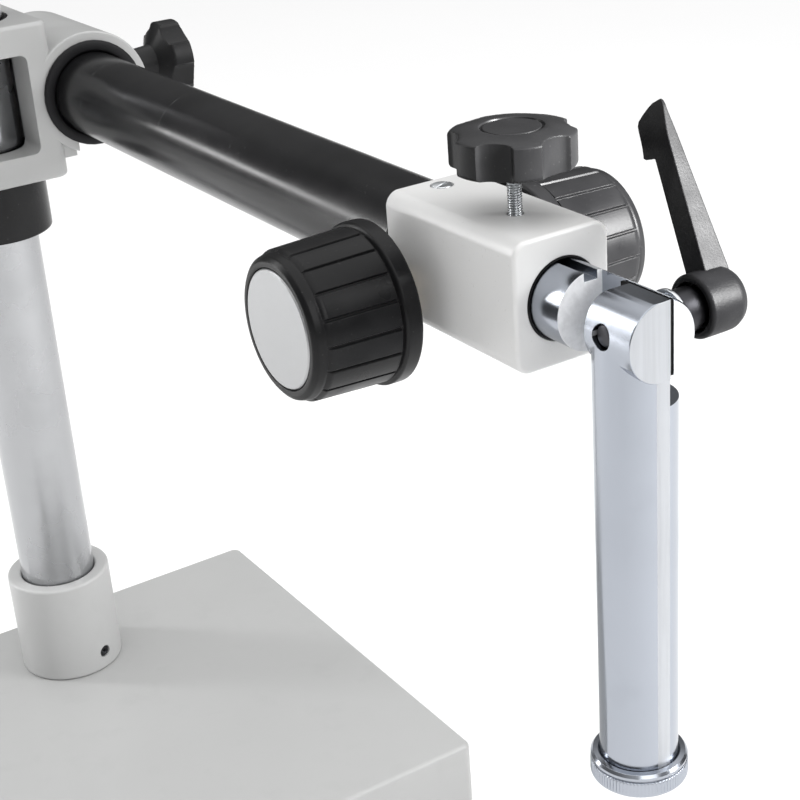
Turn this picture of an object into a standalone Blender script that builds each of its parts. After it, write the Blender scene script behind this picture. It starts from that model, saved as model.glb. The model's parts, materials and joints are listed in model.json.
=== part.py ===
"""Boom stand of a stereo microscope, built as separate sub-parts. Metres, +Z up.

Every piece is drawn with the pole on X = 0, Y = 0 and the feet on Z = 0. The boom points
to -Y, and the axes of the focus knobs and of the tilt lever run along X. The last lines
move everything by ORIGIN_SHIFT, so that the origin is under the middle of the stand.
"""
import math

import bmesh
import bpy
from mathutils import Vector

MM = 0.001
GAP = 0.3 * MM
ORIGIN_SHIFT = 142.15 * MM

# Base
BASE_LEFT, BASE_RIGHT = -126.0 * MM, 126.0 * MM
BASE_FRONT, BASE_BACK = -202.0 * MM, 47.0 * MM
BASE_UNDER, BASE_TOP = 5.0 * MM, 40.0 * MM
BASE_CORNER = 4.5 * MM
BASE_EDGE = 2.5 * MM
PLATE_INSET = 12.0 * MM
PLATE_TOP = 8.0 * MM
FOOT_RADIUS = 15.0 * MM
FOOT_INSET = 32.0 * MM
BOLT_RADIUS = 5.9 * MM

# Pole and what stands on it
POLE_RADIUS = 19.0 * MM
POLE_BORE = 15.5 * MM
POLE_FOOT = 25.0 * MM
POLE_TOP = 450.0 * MM
COLLAR_RADIUS = 26.6 * MM
COLLAR_TOP = 95.0 * MM
STOP_LOW, STOP_HIGH = 285.0 * MM, 312.7 * MM

# Crosshead
BOOM_X, BOOM_Z = 46.0 * MM, 350.0 * MM
HEAD_HALF_WIDTH = 29.0 * MM
HEAD_FRONT, HEAD_BACK = -34.28 * MM, 33.0 * MM
HEAD_HALF_HEIGHT = 36.6 * MM
CLAMP_RADIUS = 19.3 * MM
BOSS_RADIUS = 28.3 * MM
BOSS_FRONT, BOSS_BACK = -34.3 * MM, 35.0 * MM
HEAD_BORE = 21.5 * MM
BUSH_BORE = 19.3 * MM
BUSH_LENGTH = 18.0 * MM
WINDOW_HALF_WIDTH, WINDOW_HALF_HEIGHT = 16.6 * MM, 23.0 * MM
SLIT_HALF_WIDTH = 10.8 * MM

# Boom
BOOM_RADIUS = 19.0 * MM
BOOM_BORE = 16.0 * MM
BOOM_REAR = 150.0 * MM

# Focus block
BLOCK_HALF_WIDTH = 17.7 * MM
BLOCK_HALF_HEIGHT = 21.2 * MM
BLOCK_FRONT, BLOCK_REAR = -391.0 * MM, -321.0 * MM
BLOCK_EDGE = 5.0 * MM
SPIGOT_RADIUS = 15.7 * MM
SPIGOT_END = -281.0 * MM
SHAFT_RADIUS = 12.5 * MM
SHAFT_BORE = 12.8 * MM

# Focus drive: one pinion between two knobs, under a rack let into the shaft
PINION_Y, PINION_DROP = -329.5 * MM, 10.9 * MM
MODULE = 0.8 * MM
PINION_TEETH = 13
RACK_TEETH = 25
PINION_BORE = 6.3 * MM
AXLE_RADIUS = 4.0 * MM
KNOB_NEAR, KNOB_FAR = 28.0 * MM, 65.4 * MM
FLANGE_RADIUS = 27.2 * MM
BARREL_RADIUS = 25.0 * MM
RIM_RADIUS = 24.0 * MM
DISC_RADIUS = 19.6 * MM
KNOB_PADS = 18

# Lock knob on the block
LOCK_Y = -368.2 * MM
LOCK_UNDER, LOCK_TOP = 386.4 * MM, 398.8 * MM
LOCK_RADIUS = 19.6 * MM
LOCK_SPIN = math.radians(7.6)
STUD_RADIUS = 2.4 * MM

# Star grips: each flute's half width as a share of its lobe, and its depth of the radius
FLUTE_SHARE = 0.28
FLUTE_DEPTH = 0.15

# Tilt joint
PIVOT_Y = -424.0 * MM
PIVOT_Z = BOOM_Z + 1.0 * MM
SHOULDER_Y = -404.4 * MM
TONGUE_BACK, TONGUE_FRONT = -416.5 * MM, -435.8 * MM
TONGUE_ROUND = 3.0 * MM
CROWN = 12.1 * MM
CHEEK_FRONT = TONGUE_FRONT
SPLIT_X = 2.5 * MM
SPLIT_GAP = 1.8 * MM
SHIM_HALF_HEIGHT = 11.4 * MM
SHIM_DEPTH = 21.0 * MM
LAP_DROP = 20.5 * MM
PIVOT_BORE = 3.9 * MM
KEYWAY_HALF_WIDTH, KEYWAY_DEPTH = 2.5 * MM, 3.0 * MM

# Drop post
POST_RADIUS = 12.5 * MM
POST_END = 196.5 * MM
RING_LOW, RING_HIGH = 196.5 * MM, 205.3 * MM
RING_RADIUS = 15.6 * MM

# Clamping lever
NECK_RADIUS = 6.8 * MM
HUB_NEAR, HUB_FAR = 67.0 * MM, 80.5 * MM
HUB_RADIUS = 9.8 * MM
INSERT_END = 72.5 * MM
SCREW_HEAD = 78.2 * MM
LEVER_REACH = 61.0 * MM
LEVER_CORNER = 0.6 * MM
LEVER_LEAN = math.radians(30)
LEVER_SPLAY = math.radians(5)

PAINTS = {
    "light_grey_paint": ((0.62, 0.63, 0.63), 0.0, 0.45),
    "off_white_paint": ((0.76, 0.76, 0.74), 0.0, 0.4),
    "bright_steel": ((0.66, 0.67, 0.69), 1.0, 0.22),
    "chrome": ((0.77, 0.79, 0.82), 1.0, 0.1),
    "black_anodised": ((0.018, 0.018, 0.02), 0.35, 0.38),
    "black_plastic": ((0.02, 0.02, 0.021), 0.0, 0.5),
    "black_casting": ((0.03, 0.03, 0.032), 0.1, 0.6),
    "silver_disc": ((0.7, 0.71, 0.72), 0.8, 0.35),
    "brass": ((0.7, 0.53, 0.26), 1.0, 0.3),
    "rubber": ((0.025, 0.025, 0.025), 0.0, 0.85),
    "zinc_steel": ((0.6, 0.61, 0.62), 1.0, 0.35),
}

for old in list(bpy.data.objects):
    bpy.data.objects.remove(old, do_unlink=True)

PARTS = bpy.data.collections.new("stereo_microscope_boom_stand")
CUTTERS = bpy.data.collections.new("cutters")
bpy.context.scene.collection.children.link(PARTS)
bpy.context.scene.collection.children.link(CUTTERS)
CUTTERS.hide_render = True


def paint(name):
    """The named material, made on its first use."""
    found = bpy.data.materials.get(name)
    if found:
        return found
    colour, metallic, roughness = PAINTS[name]
    made = bpy.data.materials.new(name)
    made.use_nodes = True
    shader = made.node_tree.nodes["Principled BSDF"]
    shader.inputs["Base Color"].default_value = (*colour, 1.0)
    shader.inputs["Metallic"].default_value = metallic
    shader.inputs["Roughness"].default_value = roughness
    made.diffuse_color = (*colour, 1.0)
    return made


def placed(name, mesh, look, at=(0, 0, 0), turn=(0, 0, 0)):
    """An object of this mesh: a part when it has a look, a cutter when it has none."""
    thing = bpy.data.objects.new(name, mesh)
    thing.location = at
    thing.rotation_euler = turn
    if look:
        mesh.materials.append(paint(look))
        PARTS.objects.link(thing)
    else:
        thing.hide_render = True
        thing.display_type = "WIRE"
        CUTTERS.objects.link(thing)
    return thing


def mesh_of(name, bm):
    """Closes a bmesh into a mesh whose faces point outwards."""
    bmesh.ops.recalc_face_normals(bm, faces=bm.faces)
    mesh = bpy.data.meshes.new(name)
    bm.to_mesh(mesh)
    bm.free()
    return mesh


ALONG_X = (0, math.pi / 2, 0)
ALONG_Y = (-math.pi / 2, 0, 0)
ALONG_Z = (0, 0, 0)


def turned(name, profile, look, at=(0, 0, 0), turn=ALONG_Z, steps=48, ring=False):
    """A profile of (radius, height) spun about local Z, its outer side running down."""
    bm = bmesh.new()
    verts = [bm.verts.new((r, 0, h)) for r, h in profile]
    pairs = list(zip(verts, verts[1:]))
    if ring:
        pairs.append((verts[-1], verts[0]))
    for a, b in pairs:
        bm.edges.new((a, b))
    mesh = bpy.data.meshes.new(name)
    bm.to_mesh(mesh)
    bm.free()
    thing = placed(name, mesh, look, at, turn)
    spin = thing.modifiers.new("spin", "SCREW")
    spin.steps = steps
    spin.render_steps = steps
    spin.use_merge_vertices = True
    spin.merge_threshold = 0.00001
    return thing


def rod(name, radius, low, high, look, at=(0, 0, 0), turn=ALONG_Z, edge=0.0, steps=40):
    """A solid bar with chamfered ends."""
    profile = [(0, high), (radius - edge, high)]
    if edge:
        profile.append((radius, high - edge))
        profile.append((radius, low + edge))
    else:
        profile.append((radius, low))
    if edge:
        profile.append((radius - edge, low))
    profile.append((0, low))
    return turned(name, profile, look, at, turn, steps)


def tube(name, outer, inner, low, high, look, at=(0, 0, 0), turn=ALONG_Z, edge=0.0, steps=48):
    """A sleeve with chamfered outer ends."""
    profile = [(outer - edge, high)]
    if edge:
        profile.append((outer, high - edge))
        profile.append((outer, low + edge))
        profile.append((outer - edge, low))
    else:
        profile.append((outer, low))
    profile.append((inner, low))
    profile.append((inner, high))
    return turned(name, profile, look, at, turn, steps, ring=True)


def lofted(name, rings, look, at=(0, 0, 0), turn=ALONG_Z):
    """A skin through rings of equally many points, closed at both ends."""
    bm = bmesh.new()
    rows = [[bm.verts.new(point) for point in ring] for ring in rings]
    count = len(rows[0])
    for low, high in zip(rows, rows[1:]):
        for i in range(count):
            j = (i + 1) % count
            bm.faces.new((low[i], low[j], high[j], high[i]))
    bm.faces.new(rows[0])
    bm.faces.new(rows[-1])
    return placed(name, mesh_of(name, bm), look, at, turn)


def box(name, low, high, look):
    """A plain block between two corners."""
    bm = bmesh.new()
    bmesh.ops.create_cube(bm, size=1.0)
    size = Vector(high) - Vector(low)
    middle = (Vector(high) + Vector(low)) / 2
    bmesh.ops.scale(bm, vec=size, verts=bm.verts)
    return placed(name, mesh_of(name, bm), look, middle)


def rounded(half_x, half_y, radius, steps=5, centre=(0.0, 0.0)):
    """The outline of a rectangle with rounded corners."""
    points = []
    corners = ((1, 1, 0), (-1, 1, 90), (-1, -1, 180), (1, -1, 270))
    for sign_x, sign_y, start in corners:
        for step in range(steps + 1):
            angle = math.radians(start + 90 * step / steps)
            x = centre[0] + sign_x * (half_x - radius) + radius * math.cos(angle)
            y = centre[1] + sign_y * (half_y - radius) + radius * math.sin(angle)
            points.append((x, y))
    return points


def combine(target, operation, others):
    """One Boolean of the target with all of these helper solids at once."""
    label = operation.lower() + " " + target.name
    group = bpy.data.collections.new(label)
    CUTTERS.children.link(group)
    for other in others:
        group.objects.link(other)
    change = target.modifiers.new(label, "BOOLEAN")
    change.operation = operation
    change.solver = "EXACT"
    change.operand_type = "COLLECTION"
    change.collection = group


def cut(target, *cutters):
    """Takes each cutter away from the target."""
    combine(target, "DIFFERENCE", cutters)


def join(target, *others):
    """Adds each helper solid to the target."""
    combine(target, "UNION", others)


def make_base():
    half_x = (BASE_RIGHT - BASE_LEFT) / 2
    half_y = (BASE_BACK - BASE_FRONT) / 2
    centre = ((BASE_LEFT + BASE_RIGHT) / 2, (BASE_FRONT + BASE_BACK) / 2)
    rings = []
    levels = [(BASE_UNDER, 1.0 * MM), (BASE_UNDER + 1.0 * MM, 0.0)]
    for step in range(5):
        angle = math.radians(90 * step / 4)
        inset = BASE_EDGE * (1 - math.cos(angle))
        levels.append((BASE_TOP - BASE_EDGE + BASE_EDGE * math.sin(angle), inset))
    for height, inset in levels:
        radius = BASE_CORNER - 0.6 * inset
        outline = rounded(half_x - inset, half_y - inset, radius, 6, centre)
        rings.append([(x, y, height) for x, y in outline])
    base = lofted("base_casting", rings, "light_grey_paint")
    inner = rounded(half_x - PLATE_INSET + GAP, half_y - PLATE_INSET + GAP, 6 * MM, 3, centre)
    floor = [[(x, y, z) for x, y in inner] for z in (0.0, PLATE_TOP + GAP)]
    cut(base, lofted("cut_plate_recess", floor, None))
    socket = rod("cut_pole_socket", POLE_RADIUS + GAP, POLE_FOOT - GAP, 60 * MM, None, steps=48)
    pocket = rod("cut_bolt_pocket", 14 * MM, 0.0, 16 * MM, None, steps=24)
    way = rod("cut_bolt_way", BOLT_RADIUS + GAP, 10 * MM, 30 * MM, None, steps=24)
    cut(base, socket, pocket, way)

    outline = rounded(half_x - PLATE_INSET, half_y - PLATE_INSET, 5.7 * MM, 3, centre)
    sheet = [[(x, y, z) for x, y in outline] for z in (BASE_UNDER, PLATE_TOP)]
    plate = lofted("bottom_plate", sheet, "zinc_steel")
    cut(plate, rod("cut_plate_middle", 15 * MM, 0.0, 20 * MM, None))

    for side, x in (("l", BASE_LEFT + FOOT_INSET), ("r", BASE_RIGHT - FOOT_INSET)):
        for end, y in (("f", BASE_FRONT + FOOT_INSET), ("b", BASE_BACK - FOOT_INSET)):
            hole = rod(
                "cut_foot_" + end + side, 4.3 * MM, 2 * MM, 14 * MM, None, (x, y, 0), steps=12
            )
            cut(base, hole)
            cut(plate, hole)
            low = BASE_UNDER - GAP
            profile = [
                (0, 13 * MM),
                (3.4 * MM, 13 * MM),
                (4.0 * MM, 12 * MM),
                (4.0 * MM, low),
                (FOOT_RADIUS - 1 * MM, low),
                (FOOT_RADIUS, low - 1 * MM),
                (FOOT_RADIUS - 1.5 * MM, 0),
                (0, 0),
            ]
            turned("foot_" + end + side, profile, "rubber", (x, y, 0), steps=20)


def make_pole():
    profile = [
        (POLE_RADIUS - 0.6 * MM, POLE_TOP),
        (POLE_RADIUS, POLE_TOP - 0.6 * MM),
        (POLE_RADIUS, POLE_FOOT + 1 * MM),
        (POLE_RADIUS - 1 * MM, POLE_FOOT),
        (BOLT_RADIUS + GAP, POLE_FOOT),
        (BOLT_RADIUS + GAP, POLE_FOOT + 24 * MM),
        (POLE_BORE, POLE_FOOT + 26 * MM),
        (POLE_BORE, POLE_TOP),
    ]
    turned("pole", profile, "bright_steel", steps=48, ring=True)

    top = POLE_TOP + GAP
    profile = [
        (0, top + 5 * MM),
        (POLE_RADIUS - 2.5 * MM, top + 5 * MM),
        (POLE_RADIUS - 0.8 * MM, top + 4.2 * MM),
        (POLE_RADIUS, top + 2.5 * MM),
        (POLE_RADIUS, top),
        (POLE_BORE - GAP, top),
        (POLE_BORE - GAP, top - 13 * MM),
        (POLE_BORE - 1.5 * MM, top - 15 * MM),
        (0, top - 15 * MM),
    ]
    turned("pole_top_cap", profile, "black_plastic", steps=36)

    profile = [
        (0, 46 * MM),
        (BOLT_RADIUS - 1 * MM, 46 * MM),
        (BOLT_RADIUS, 45 * MM),
        (BOLT_RADIUS, 14 * MM),
        (9.5 * MM, 14 * MM),
        (9.5 * MM, 7 * MM),
        (8.7 * MM, 6.2 * MM),
        (0, 6.2 * MM),
    ]
    bolt = turned("pole_bolt", profile, "zinc_steel", steps=16)
    hexagon = []
    for z in (0.0, 10 * MM):
        hexagon.append(
            [(5 * MM * math.cos(math.radians(a)), 5 * MM * math.sin(math.radians(a)), z)
             for a in range(0, 360, 60)]
        )
    cut(bolt, lofted("cut_bolt_hexagon", hexagon, None))
    tube("pole_washer", 12.5 * MM, BOLT_RADIUS + GAP, 14.2 * MM, 15.8 * MM, "zinc_steel", steps=20)

    collar = tube(
        "pole_collar", COLLAR_RADIUS, POLE_RADIUS + GAP, BASE_TOP + 0.1 * MM, COLLAR_TOP,
        "light_grey_paint", edge=1.2 * MM, steps=48,
    )
    aim = math.radians(-68)
    radial_screw("collar_set_screw", collar, aim, 50 * MM, POLE_RADIUS + 0.5 * MM, 26.0 * MM, 3 * MM)


def radial_screw(name, owner, aim, height, near, far, radius):
    """A socket set screw that runs in towards the pole, in a hole of its owner."""
    turn = (0, math.pi / 2, aim)
    hole = rod("cut_" + name, radius + GAP, near - 1 * MM, far + 8 * MM, None,
               (0, 0, height), turn, steps=20)
    cut(owner, hole)
    screw = rod(name, radius, near, far, "black_casting", (0, 0, height), turn, 0.4 * MM, 20)
    socket = []
    for reach in (far - 2.2 * MM, far + 2 * MM):
        ring = []
        for degrees in range(0, 360, 60):
            a = math.radians(degrees)
            ring.append((0.5 * radius * math.cos(a), 0.5 * radius * math.sin(a), reach))
        socket.append(ring)
    cut(screw, lofted("cut_socket_" + name, socket, None, (0, 0, height), turn))


def make_stop_collar():
    stop = tube(
        "stop_collar", COLLAR_RADIUS, POLE_RADIUS + GAP, STOP_LOW, STOP_HIGH,
        "black_anodised", edge=0.8 * MM, steps=48,
    )
    radial_screw("stop_collar_screw", stop, math.radians(90), 299 * MM,
                 POLE_RADIUS + 0.5 * MM, 26.0 * MM, 3 * MM)


def make_crosshead():
    z0 = BOOM_Z
    half = HEAD_HALF_HEIGHT
    depth = (HEAD_BACK - HEAD_FRONT) / 2
    centre = (0.0, (HEAD_BACK + HEAD_FRONT) / 2)
    rings = []
    levels = (
        (z0 - half, 1.0 * MM),
        (z0 - half + 1 * MM, 0.0),
        (z0 + half - 2 * MM, 0.0),
        (z0 + half - 0.6 * MM, 0.6 * MM),
        (z0 + half, 2.0 * MM),
    )
    for height, inset in levels:
        shape = rounded(HEAD_HALF_WIDTH - inset, depth - inset, 5 * MM, 4, centre)
        rings.append([(x, y, height) for x, y in shape])
    head = lofted("crosshead", rings, "light_grey_paint")
    boss = rod("add_boss", BOSS_RADIUS, BOSS_FRONT, BOSS_BACK, None,
               (BOOM_X, 0, z0), ALONG_Y, 1 * MM, 44)
    foot = box("add_boss_foot", (20 * MM, HEAD_FRONT + 1.5 * MM, z0 - 28.5 * MM),
               (34.6 * MM, HEAD_BACK - 1.5 * MM, z0 - 10 * MM), None)
    boom_pad = rod("add_boom_clamp_boss", 11 * MM, 68.2 * MM, 77 * MM, None,
                   (0, 0, z0), ALONG_X, 0, 24)
    pole_pad = rod("add_pole_clamp_boss", 11 * MM, -35 * MM, -25 * MM, None,
                   (0, 0, z0), ALONG_X, 0, 24)
    join(head, boss, foot, boom_pad, pole_pad)

    pole_bore = rod("cut_head_pole", HEAD_BORE, 200 * MM, 500 * MM, None, steps=36)
    boom_bore = rod("cut_head_boom", HEAD_BORE, -80 * MM, 80 * MM, None,
                    (BOOM_X, 0, z0), ALONG_Y, steps=40)
    slit = box("cut_head_slit", (BOOM_X - SLIT_HALF_WIDTH, -60 * MM, z0 - 45 * MM),
               (BOOM_X + SLIT_HALF_WIDTH, 60 * MM, z0 - 15 * MM), None)
    frame = rounded(WINDOW_HALF_WIDTH, WINDOW_HALF_HEIGHT, 3.5 * MM, 3)
    window = [[(x, y, z0 + z) for x, z in frame] for y in (-50 * MM, -6 * MM)]
    opening = lofted("cut_head_window", window, None)
    boom_way = rod("cut_boom_clamp", 4.3 * MM, 58 * MM, 90 * MM, None,
                   (0, 0, z0), ALONG_X, steps=14)
    pole_way = rod("cut_pole_clamp", 4.3 * MM, -50 * MM, -15 * MM, None,
                   (0, 0, z0), ALONG_X, steps=14)
    cut(head, pole_bore, boom_bore, slit, opening, boom_way, pole_way)

    outer = HEAD_BORE - 0.2 * MM
    for name, sign in (("pole_bush_lower", -1), ("pole_bush_upper", 1)):
        ends = sorted((sign * (half - 0.5 * MM), sign * (half - 13 * MM)))
        tube(name, outer, BUSH_BORE, z0 + ends[0], z0 + ends[1], "black_plastic", steps=32)
    flange = 24.3 * MM
    profile = [
        (outer, BUSH_LENGTH),
        (outer, 0),
        (flange, 0),
        (flange, -1.6 * MM),
        (flange - 0.9 * MM, -2.4 * MM),
        (BUSH_BORE + 1.2 * MM, -2.4 * MM),
        (BUSH_BORE, -1.2 * MM),
        (BUSH_BORE, BUSH_LENGTH),
    ]
    turned("boom_bush_front", profile, "black_plastic", (BOOM_X, BOSS_FRONT - GAP, z0),
           ALONG_Y, 40, ring=True)
    turned("boom_bush_rear", profile, "black_plastic", (BOOM_X, BOSS_BACK + GAP, z0),
           (math.pi / 2, 0, 0), 40, ring=True)

    star_knob("boom_clamp_knob", CLAMP_RADIUS, 12 * MM, 5, 9 * MM, 15 * MM,
              (96 * MM, 0, z0), ALONG_X, math.radians(36))
    rod("boom_clamp_stud", 4.0 * MM, 70 * MM, 103 * MM, "zinc_steel", (0, 0, z0), ALONG_X,
        0.5 * MM, 16)
    rod("boom_clamp_pad", 3.9 * MM, 65.4 * MM, 69.6 * MM, "brass", (0, 0, z0), ALONG_X,
        0.3 * MM, 12)
    star_knob("pole_clamp_knob", CLAMP_RADIUS, 12 * MM, 5, 9 * MM, 15 * MM,
              (-54 * MM, 0, z0), (0, -math.pi / 2, 0), 0.0)
    rod("pole_clamp_stud", 4.0 * MM, -61 * MM, -25 * MM, "zinc_steel", (0, 0, z0), ALONG_X,
        0.5 * MM, 16)
    rod("pole_clamp_pad", 3.9 * MM, -24.6 * MM, -19.4 * MM, "brass", (0, 0, z0), ALONG_X,
        0.3 * MM, 12)


def fluted(reach, radius, count, spin, per=10):
    """A circle of this reach, cut back where the flutes of a grip of this radius pass."""
    points = []
    for step in range(count * per):
        share = (step + 0.5) / per % 1.0
        scoop = math.sqrt(max(0.0, 1.0 - ((share - 0.5) / FLUTE_SHARE) ** 2))
        angle = 2 * math.pi * (step + 0.5) / (count * per) + spin
        edge = min(reach, radius * (1.0 - FLUTE_DEPTH * scoop))
        points.append((edge * math.cos(angle), edge * math.sin(angle)))
    return points


def star_knob(name, radius, height, count, hub_radius, hub_length, at, turn, spin):
    """A star grip whose hub hangs below local Z = 0, hollow where its stud goes in."""
    rings = []
    levels = (
        (-hub_length, hub_radius * 0.86),
        (-hub_length + 0.8 * MM, hub_radius * 0.9),
        (-0.3 * hub_length, hub_radius),
        (-0.05 * hub_length, radius * 0.84),
        (0.6 * MM, radius * 0.97),
        (1.4 * MM, radius),
        (height - 2.6 * MM, radius),
        (height - 1.9 * MM, radius * 0.97),
        (height - 0.7 * MM, radius * 0.8),
        (height, radius * 0.58),
    )
    for level, reach in levels:
        rings.append([(x, y, level) for x, y in fluted(reach, radius, count, spin)])
    knob = lofted(name, rings, "black_plastic", at, turn)
    bore = rod("cut_" + name, 4.3 * MM, -hub_length - 1 * MM, height * 0.62, None, at, turn,
               steps=14)
    dish = rod("cut_dish_" + name, radius * 0.52, height - 0.7 * MM, height + 3 * MM, None,
               at, turn, steps=24)
    cut(knob, bore, dish)
    return knob


def make_boom():
    tube("boom_tube", BOOM_RADIUS, BOOM_BORE, BLOCK_REAR + GAP, BOOM_REAR, "black_anodised",
         (BOOM_X, 0, BOOM_Z), ALONG_Y, 0.6 * MM, 48)
    profile = [
        (0, 5 * MM),
        (BOOM_RADIUS - 2.5 * MM, 5 * MM),
        (BOOM_RADIUS - 0.8 * MM, 4.2 * MM),
        (BOOM_RADIUS, 2.5 * MM),
        (BOOM_RADIUS, 0),
        (BOOM_BORE - GAP, 0),
        (BOOM_BORE - GAP, -13 * MM),
        (BOOM_BORE - 1.5 * MM, -15 * MM),
        (0, -15 * MM),
    ]
    turned("boom_rear_cap", profile, "black_plastic", (BOOM_X, BOOM_REAR + GAP, BOOM_Z),
           ALONG_Y, 36)


def make_focus_block():
    rings = []
    levels = (
        (BLOCK_FRONT, 0.6 * MM),
        (BLOCK_FRONT + 0.6 * MM, 0.0),
        (BLOCK_REAR - 0.6 * MM, 0.0),
        (BLOCK_REAR, 0.6 * MM),
    )
    for y, inset in levels:
        shape = rounded(BLOCK_HALF_WIDTH - inset, BLOCK_HALF_HEIGHT - inset,
                        BLOCK_EDGE - inset / 2, 5)
        rings.append([(x, y, z) for x, z in shape])
    middle = (BOOM_X, 0, BOOM_Z)
    block = lofted("focus_block", rings, "off_white_paint", middle)
    spigot = rod("add_spigot", SPIGOT_RADIUS, BLOCK_REAR - 5 * MM, SPIGOT_END, None, middle,
                 ALONG_Y, 1 * MM, 40)
    join(block, spigot)
    way = rod("cut_shaft_way", SHAFT_BORE, -500 * MM, -200 * MM, None, middle, ALONG_Y, steps=40)
    seat = rod("cut_bush_seat", 13.4 * MM, -500 * MM, BLOCK_FRONT + 14.3 * MM, None, middle,
               ALONG_Y, steps=40)
    cross = rod("cut_pinion_way", PINION_BORE, 0.0, 100 * MM, None,
                (0, PINION_Y, BOOM_Z - PINION_DROP), ALONG_X, steps=24)
    lock = rod("cut_lock_way", STUD_RADIUS + GAP, 350 * MM, 400 * MM, None,
               (BOOM_X, LOCK_Y, 0), steps=20)
    pad = rod("cut_lock_pad", 2.5 * MM, 350 * MM, 367 * MM, None, (BOOM_X, LOCK_Y, 0), steps=16)
    top = BOOM_Z + BLOCK_HALF_HEIGHT
    slot_screw = rod("cut_plug_way", 3.9 * MM, top - 5 * MM, top + 5 * MM, None,
                     (BOOM_X, -328 * MM, 0), steps=20)
    cut(block, way, seat, cross, lock, pad, slot_screw)

    tube("shaft_bush", 13.15 * MM, 12.65 * MM, BLOCK_FRONT - 0.2 * MM, BLOCK_FRONT + 14 * MM,
         "black_plastic", middle, ALONG_Y, 0.0, 36)
    screw = rod("block_plug_screw", 3.6 * MM, top - 4.5 * MM, top + 0.2 * MM, "zinc_steel",
                (BOOM_X, -328 * MM, 0), ALONG_Z, 0.3 * MM, 20)
    aim = math.radians(20)
    slot = box("cut_plug_slot", (-5 * MM, -0.6 * MM, -1.4 * MM), (5 * MM, 0.6 * MM, 2 * MM), None)
    slot.location = (BOOM_X, -328 * MM, top + 0.3 * MM)
    slot.rotation_euler = (0, 0, aim)
    cut(screw, slot)

    star_knob("lock_knob", LOCK_RADIUS, LOCK_TOP - LOCK_UNDER, 6, 8 * MM, 2.4 * MM,
              (BOOM_X, LOCK_Y, LOCK_UNDER), ALONG_Z, LOCK_SPIN)
    rod("lock_stud", STUD_RADIUS, 367.2 * MM, 393.4 * MM, "zinc_steel", (BOOM_X, LOCK_Y, 0),
        ALONG_Z, 0.4 * MM, 16)
    rod("lock_pad", 2.2 * MM, 359.8 * MM, 366.9 * MM, "brass", (BOOM_X, LOCK_Y, 0), ALONG_Z,
        0.3 * MM, 12)


def gear_outline(teeth, module, slack):
    """Straight-flanked teeth: four points each, the first tooth pointing along +X."""
    points = []
    pitch = teeth * module / 2
    for tooth in range(teeth):
        middle = 2 * math.pi * tooth / teeth
        for reach, half in (
            (pitch - 1.15 * module, -0.34),
            (pitch + 0.9 * module, -0.13),
            (pitch + 0.9 * module, 0.13),
            (pitch - 1.15 * module, 0.34),
        ):
            angle = middle + half * 2 * math.pi / teeth * slack
            points.append((reach * math.cos(angle), reach * math.sin(angle)))
    return points


def make_focus_drive():
    z = BOOM_Z - PINION_DROP
    at = (BOOM_X, PINION_Y, z)
    gear = [[(x, y, h) for x, y in gear_outline(PINION_TEETH, MODULE, 0.78)]
            for h in (-3.2 * MM, 3.2 * MM)]
    pinion = lofted("pinion", gear, "bright_steel", at, ALONG_X)
    axle = rod("add_axle", AXLE_RADIUS, -(KNOB_FAR - 5 * MM), KNOB_FAR - 5 * MM, None, at,
               ALONG_X, 0.5 * MM, 24)
    join(pinion, axle)

    near, far = KNOB_NEAR, KNOB_FAR
    for side, sign in (("left", -1), ("right", 1)):
        turn = (0, sign * math.pi / 2, 0)
        wall = BLOCK_HALF_WIDTH + GAP
        profile = [
            (7.6 * MM, wall + 8 * MM),
            (8.1 * MM, wall + 7.5 * MM),
            (8.1 * MM, wall),
            (PINION_BORE - 0.2 * MM, wall),
            (PINION_BORE - 0.2 * MM, 13.2 * MM),
            (AXLE_RADIUS + 0.2 * MM, 13.2 * MM),
            (AXLE_RADIUS + 0.2 * MM, wall + 8 * MM),
        ]
        turned("pinion_bush_" + side, profile, "brass", at, turn, 24, ring=True)
        rings = []
        levels = (
            (near, FLANGE_RADIUS - 0.8 * MM, 0.0),
            (near + 0.8 * MM, FLANGE_RADIUS, 0.0),
            (near + 6.0 * MM, FLANGE_RADIUS - 0.2 * MM, 0.0),
            (near + 7.0 * MM, BARREL_RADIUS, 1.0),
            (far - 3.6 * MM, RIM_RADIUS, 1.0),
            (far - 3.2 * MM, RIM_RADIUS, 0.0),
            (far - 1.0 * MM, RIM_RADIUS - 0.6 * MM, 0.0),
            (far, RIM_RADIUS - 2.6 * MM, 0.0),
        )
        for height, reach, raised in levels:
            ring = []
            for pad in range(KNOB_PADS):
                for share, lift in ((0.04, 0.0), (0.09, 0.8), (0.91, 0.8), (0.96, 0.0)):
                    angle = 2 * math.pi * (pad + share) / KNOB_PADS
                    r = reach + raised * lift * MM
                    ring.append((r * math.cos(angle), r * math.sin(angle), height))
            rings.append(ring)
        knob = lofted("focus_knob_" + side, rings, "black_plastic", at, turn)
        hollow = tube("cut_hollow_" + side, 20.5 * MM, 9 * MM, near - 5 * MM, far - 6 * MM, None,
                      at, turn, 0.0, 24)
        hub = rod("cut_hub_" + side, 13 * MM, near - 5 * MM, near + 1.5 * MM, None, at, turn,
                  steps=24)
        bore = rod("cut_knob_" + side, AXLE_RADIUS + 0.2 * MM, near - 9 * MM, far - 4.5 * MM,
                   None, at, turn, steps=16)
        dish = rod("cut_disc_" + side, DISC_RADIUS + 0.2 * MM, far - 1.1 * MM, far + 5 * MM,
                   None, at, turn, steps=36)
        cut(knob, hollow, hub, bore, dish)
        rod("knob_disc_" + side, DISC_RADIUS, far - 0.9 * MM, far + 0.2 * MM, "silver_disc", at,
            turn, 0.3 * MM, 36)


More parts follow.
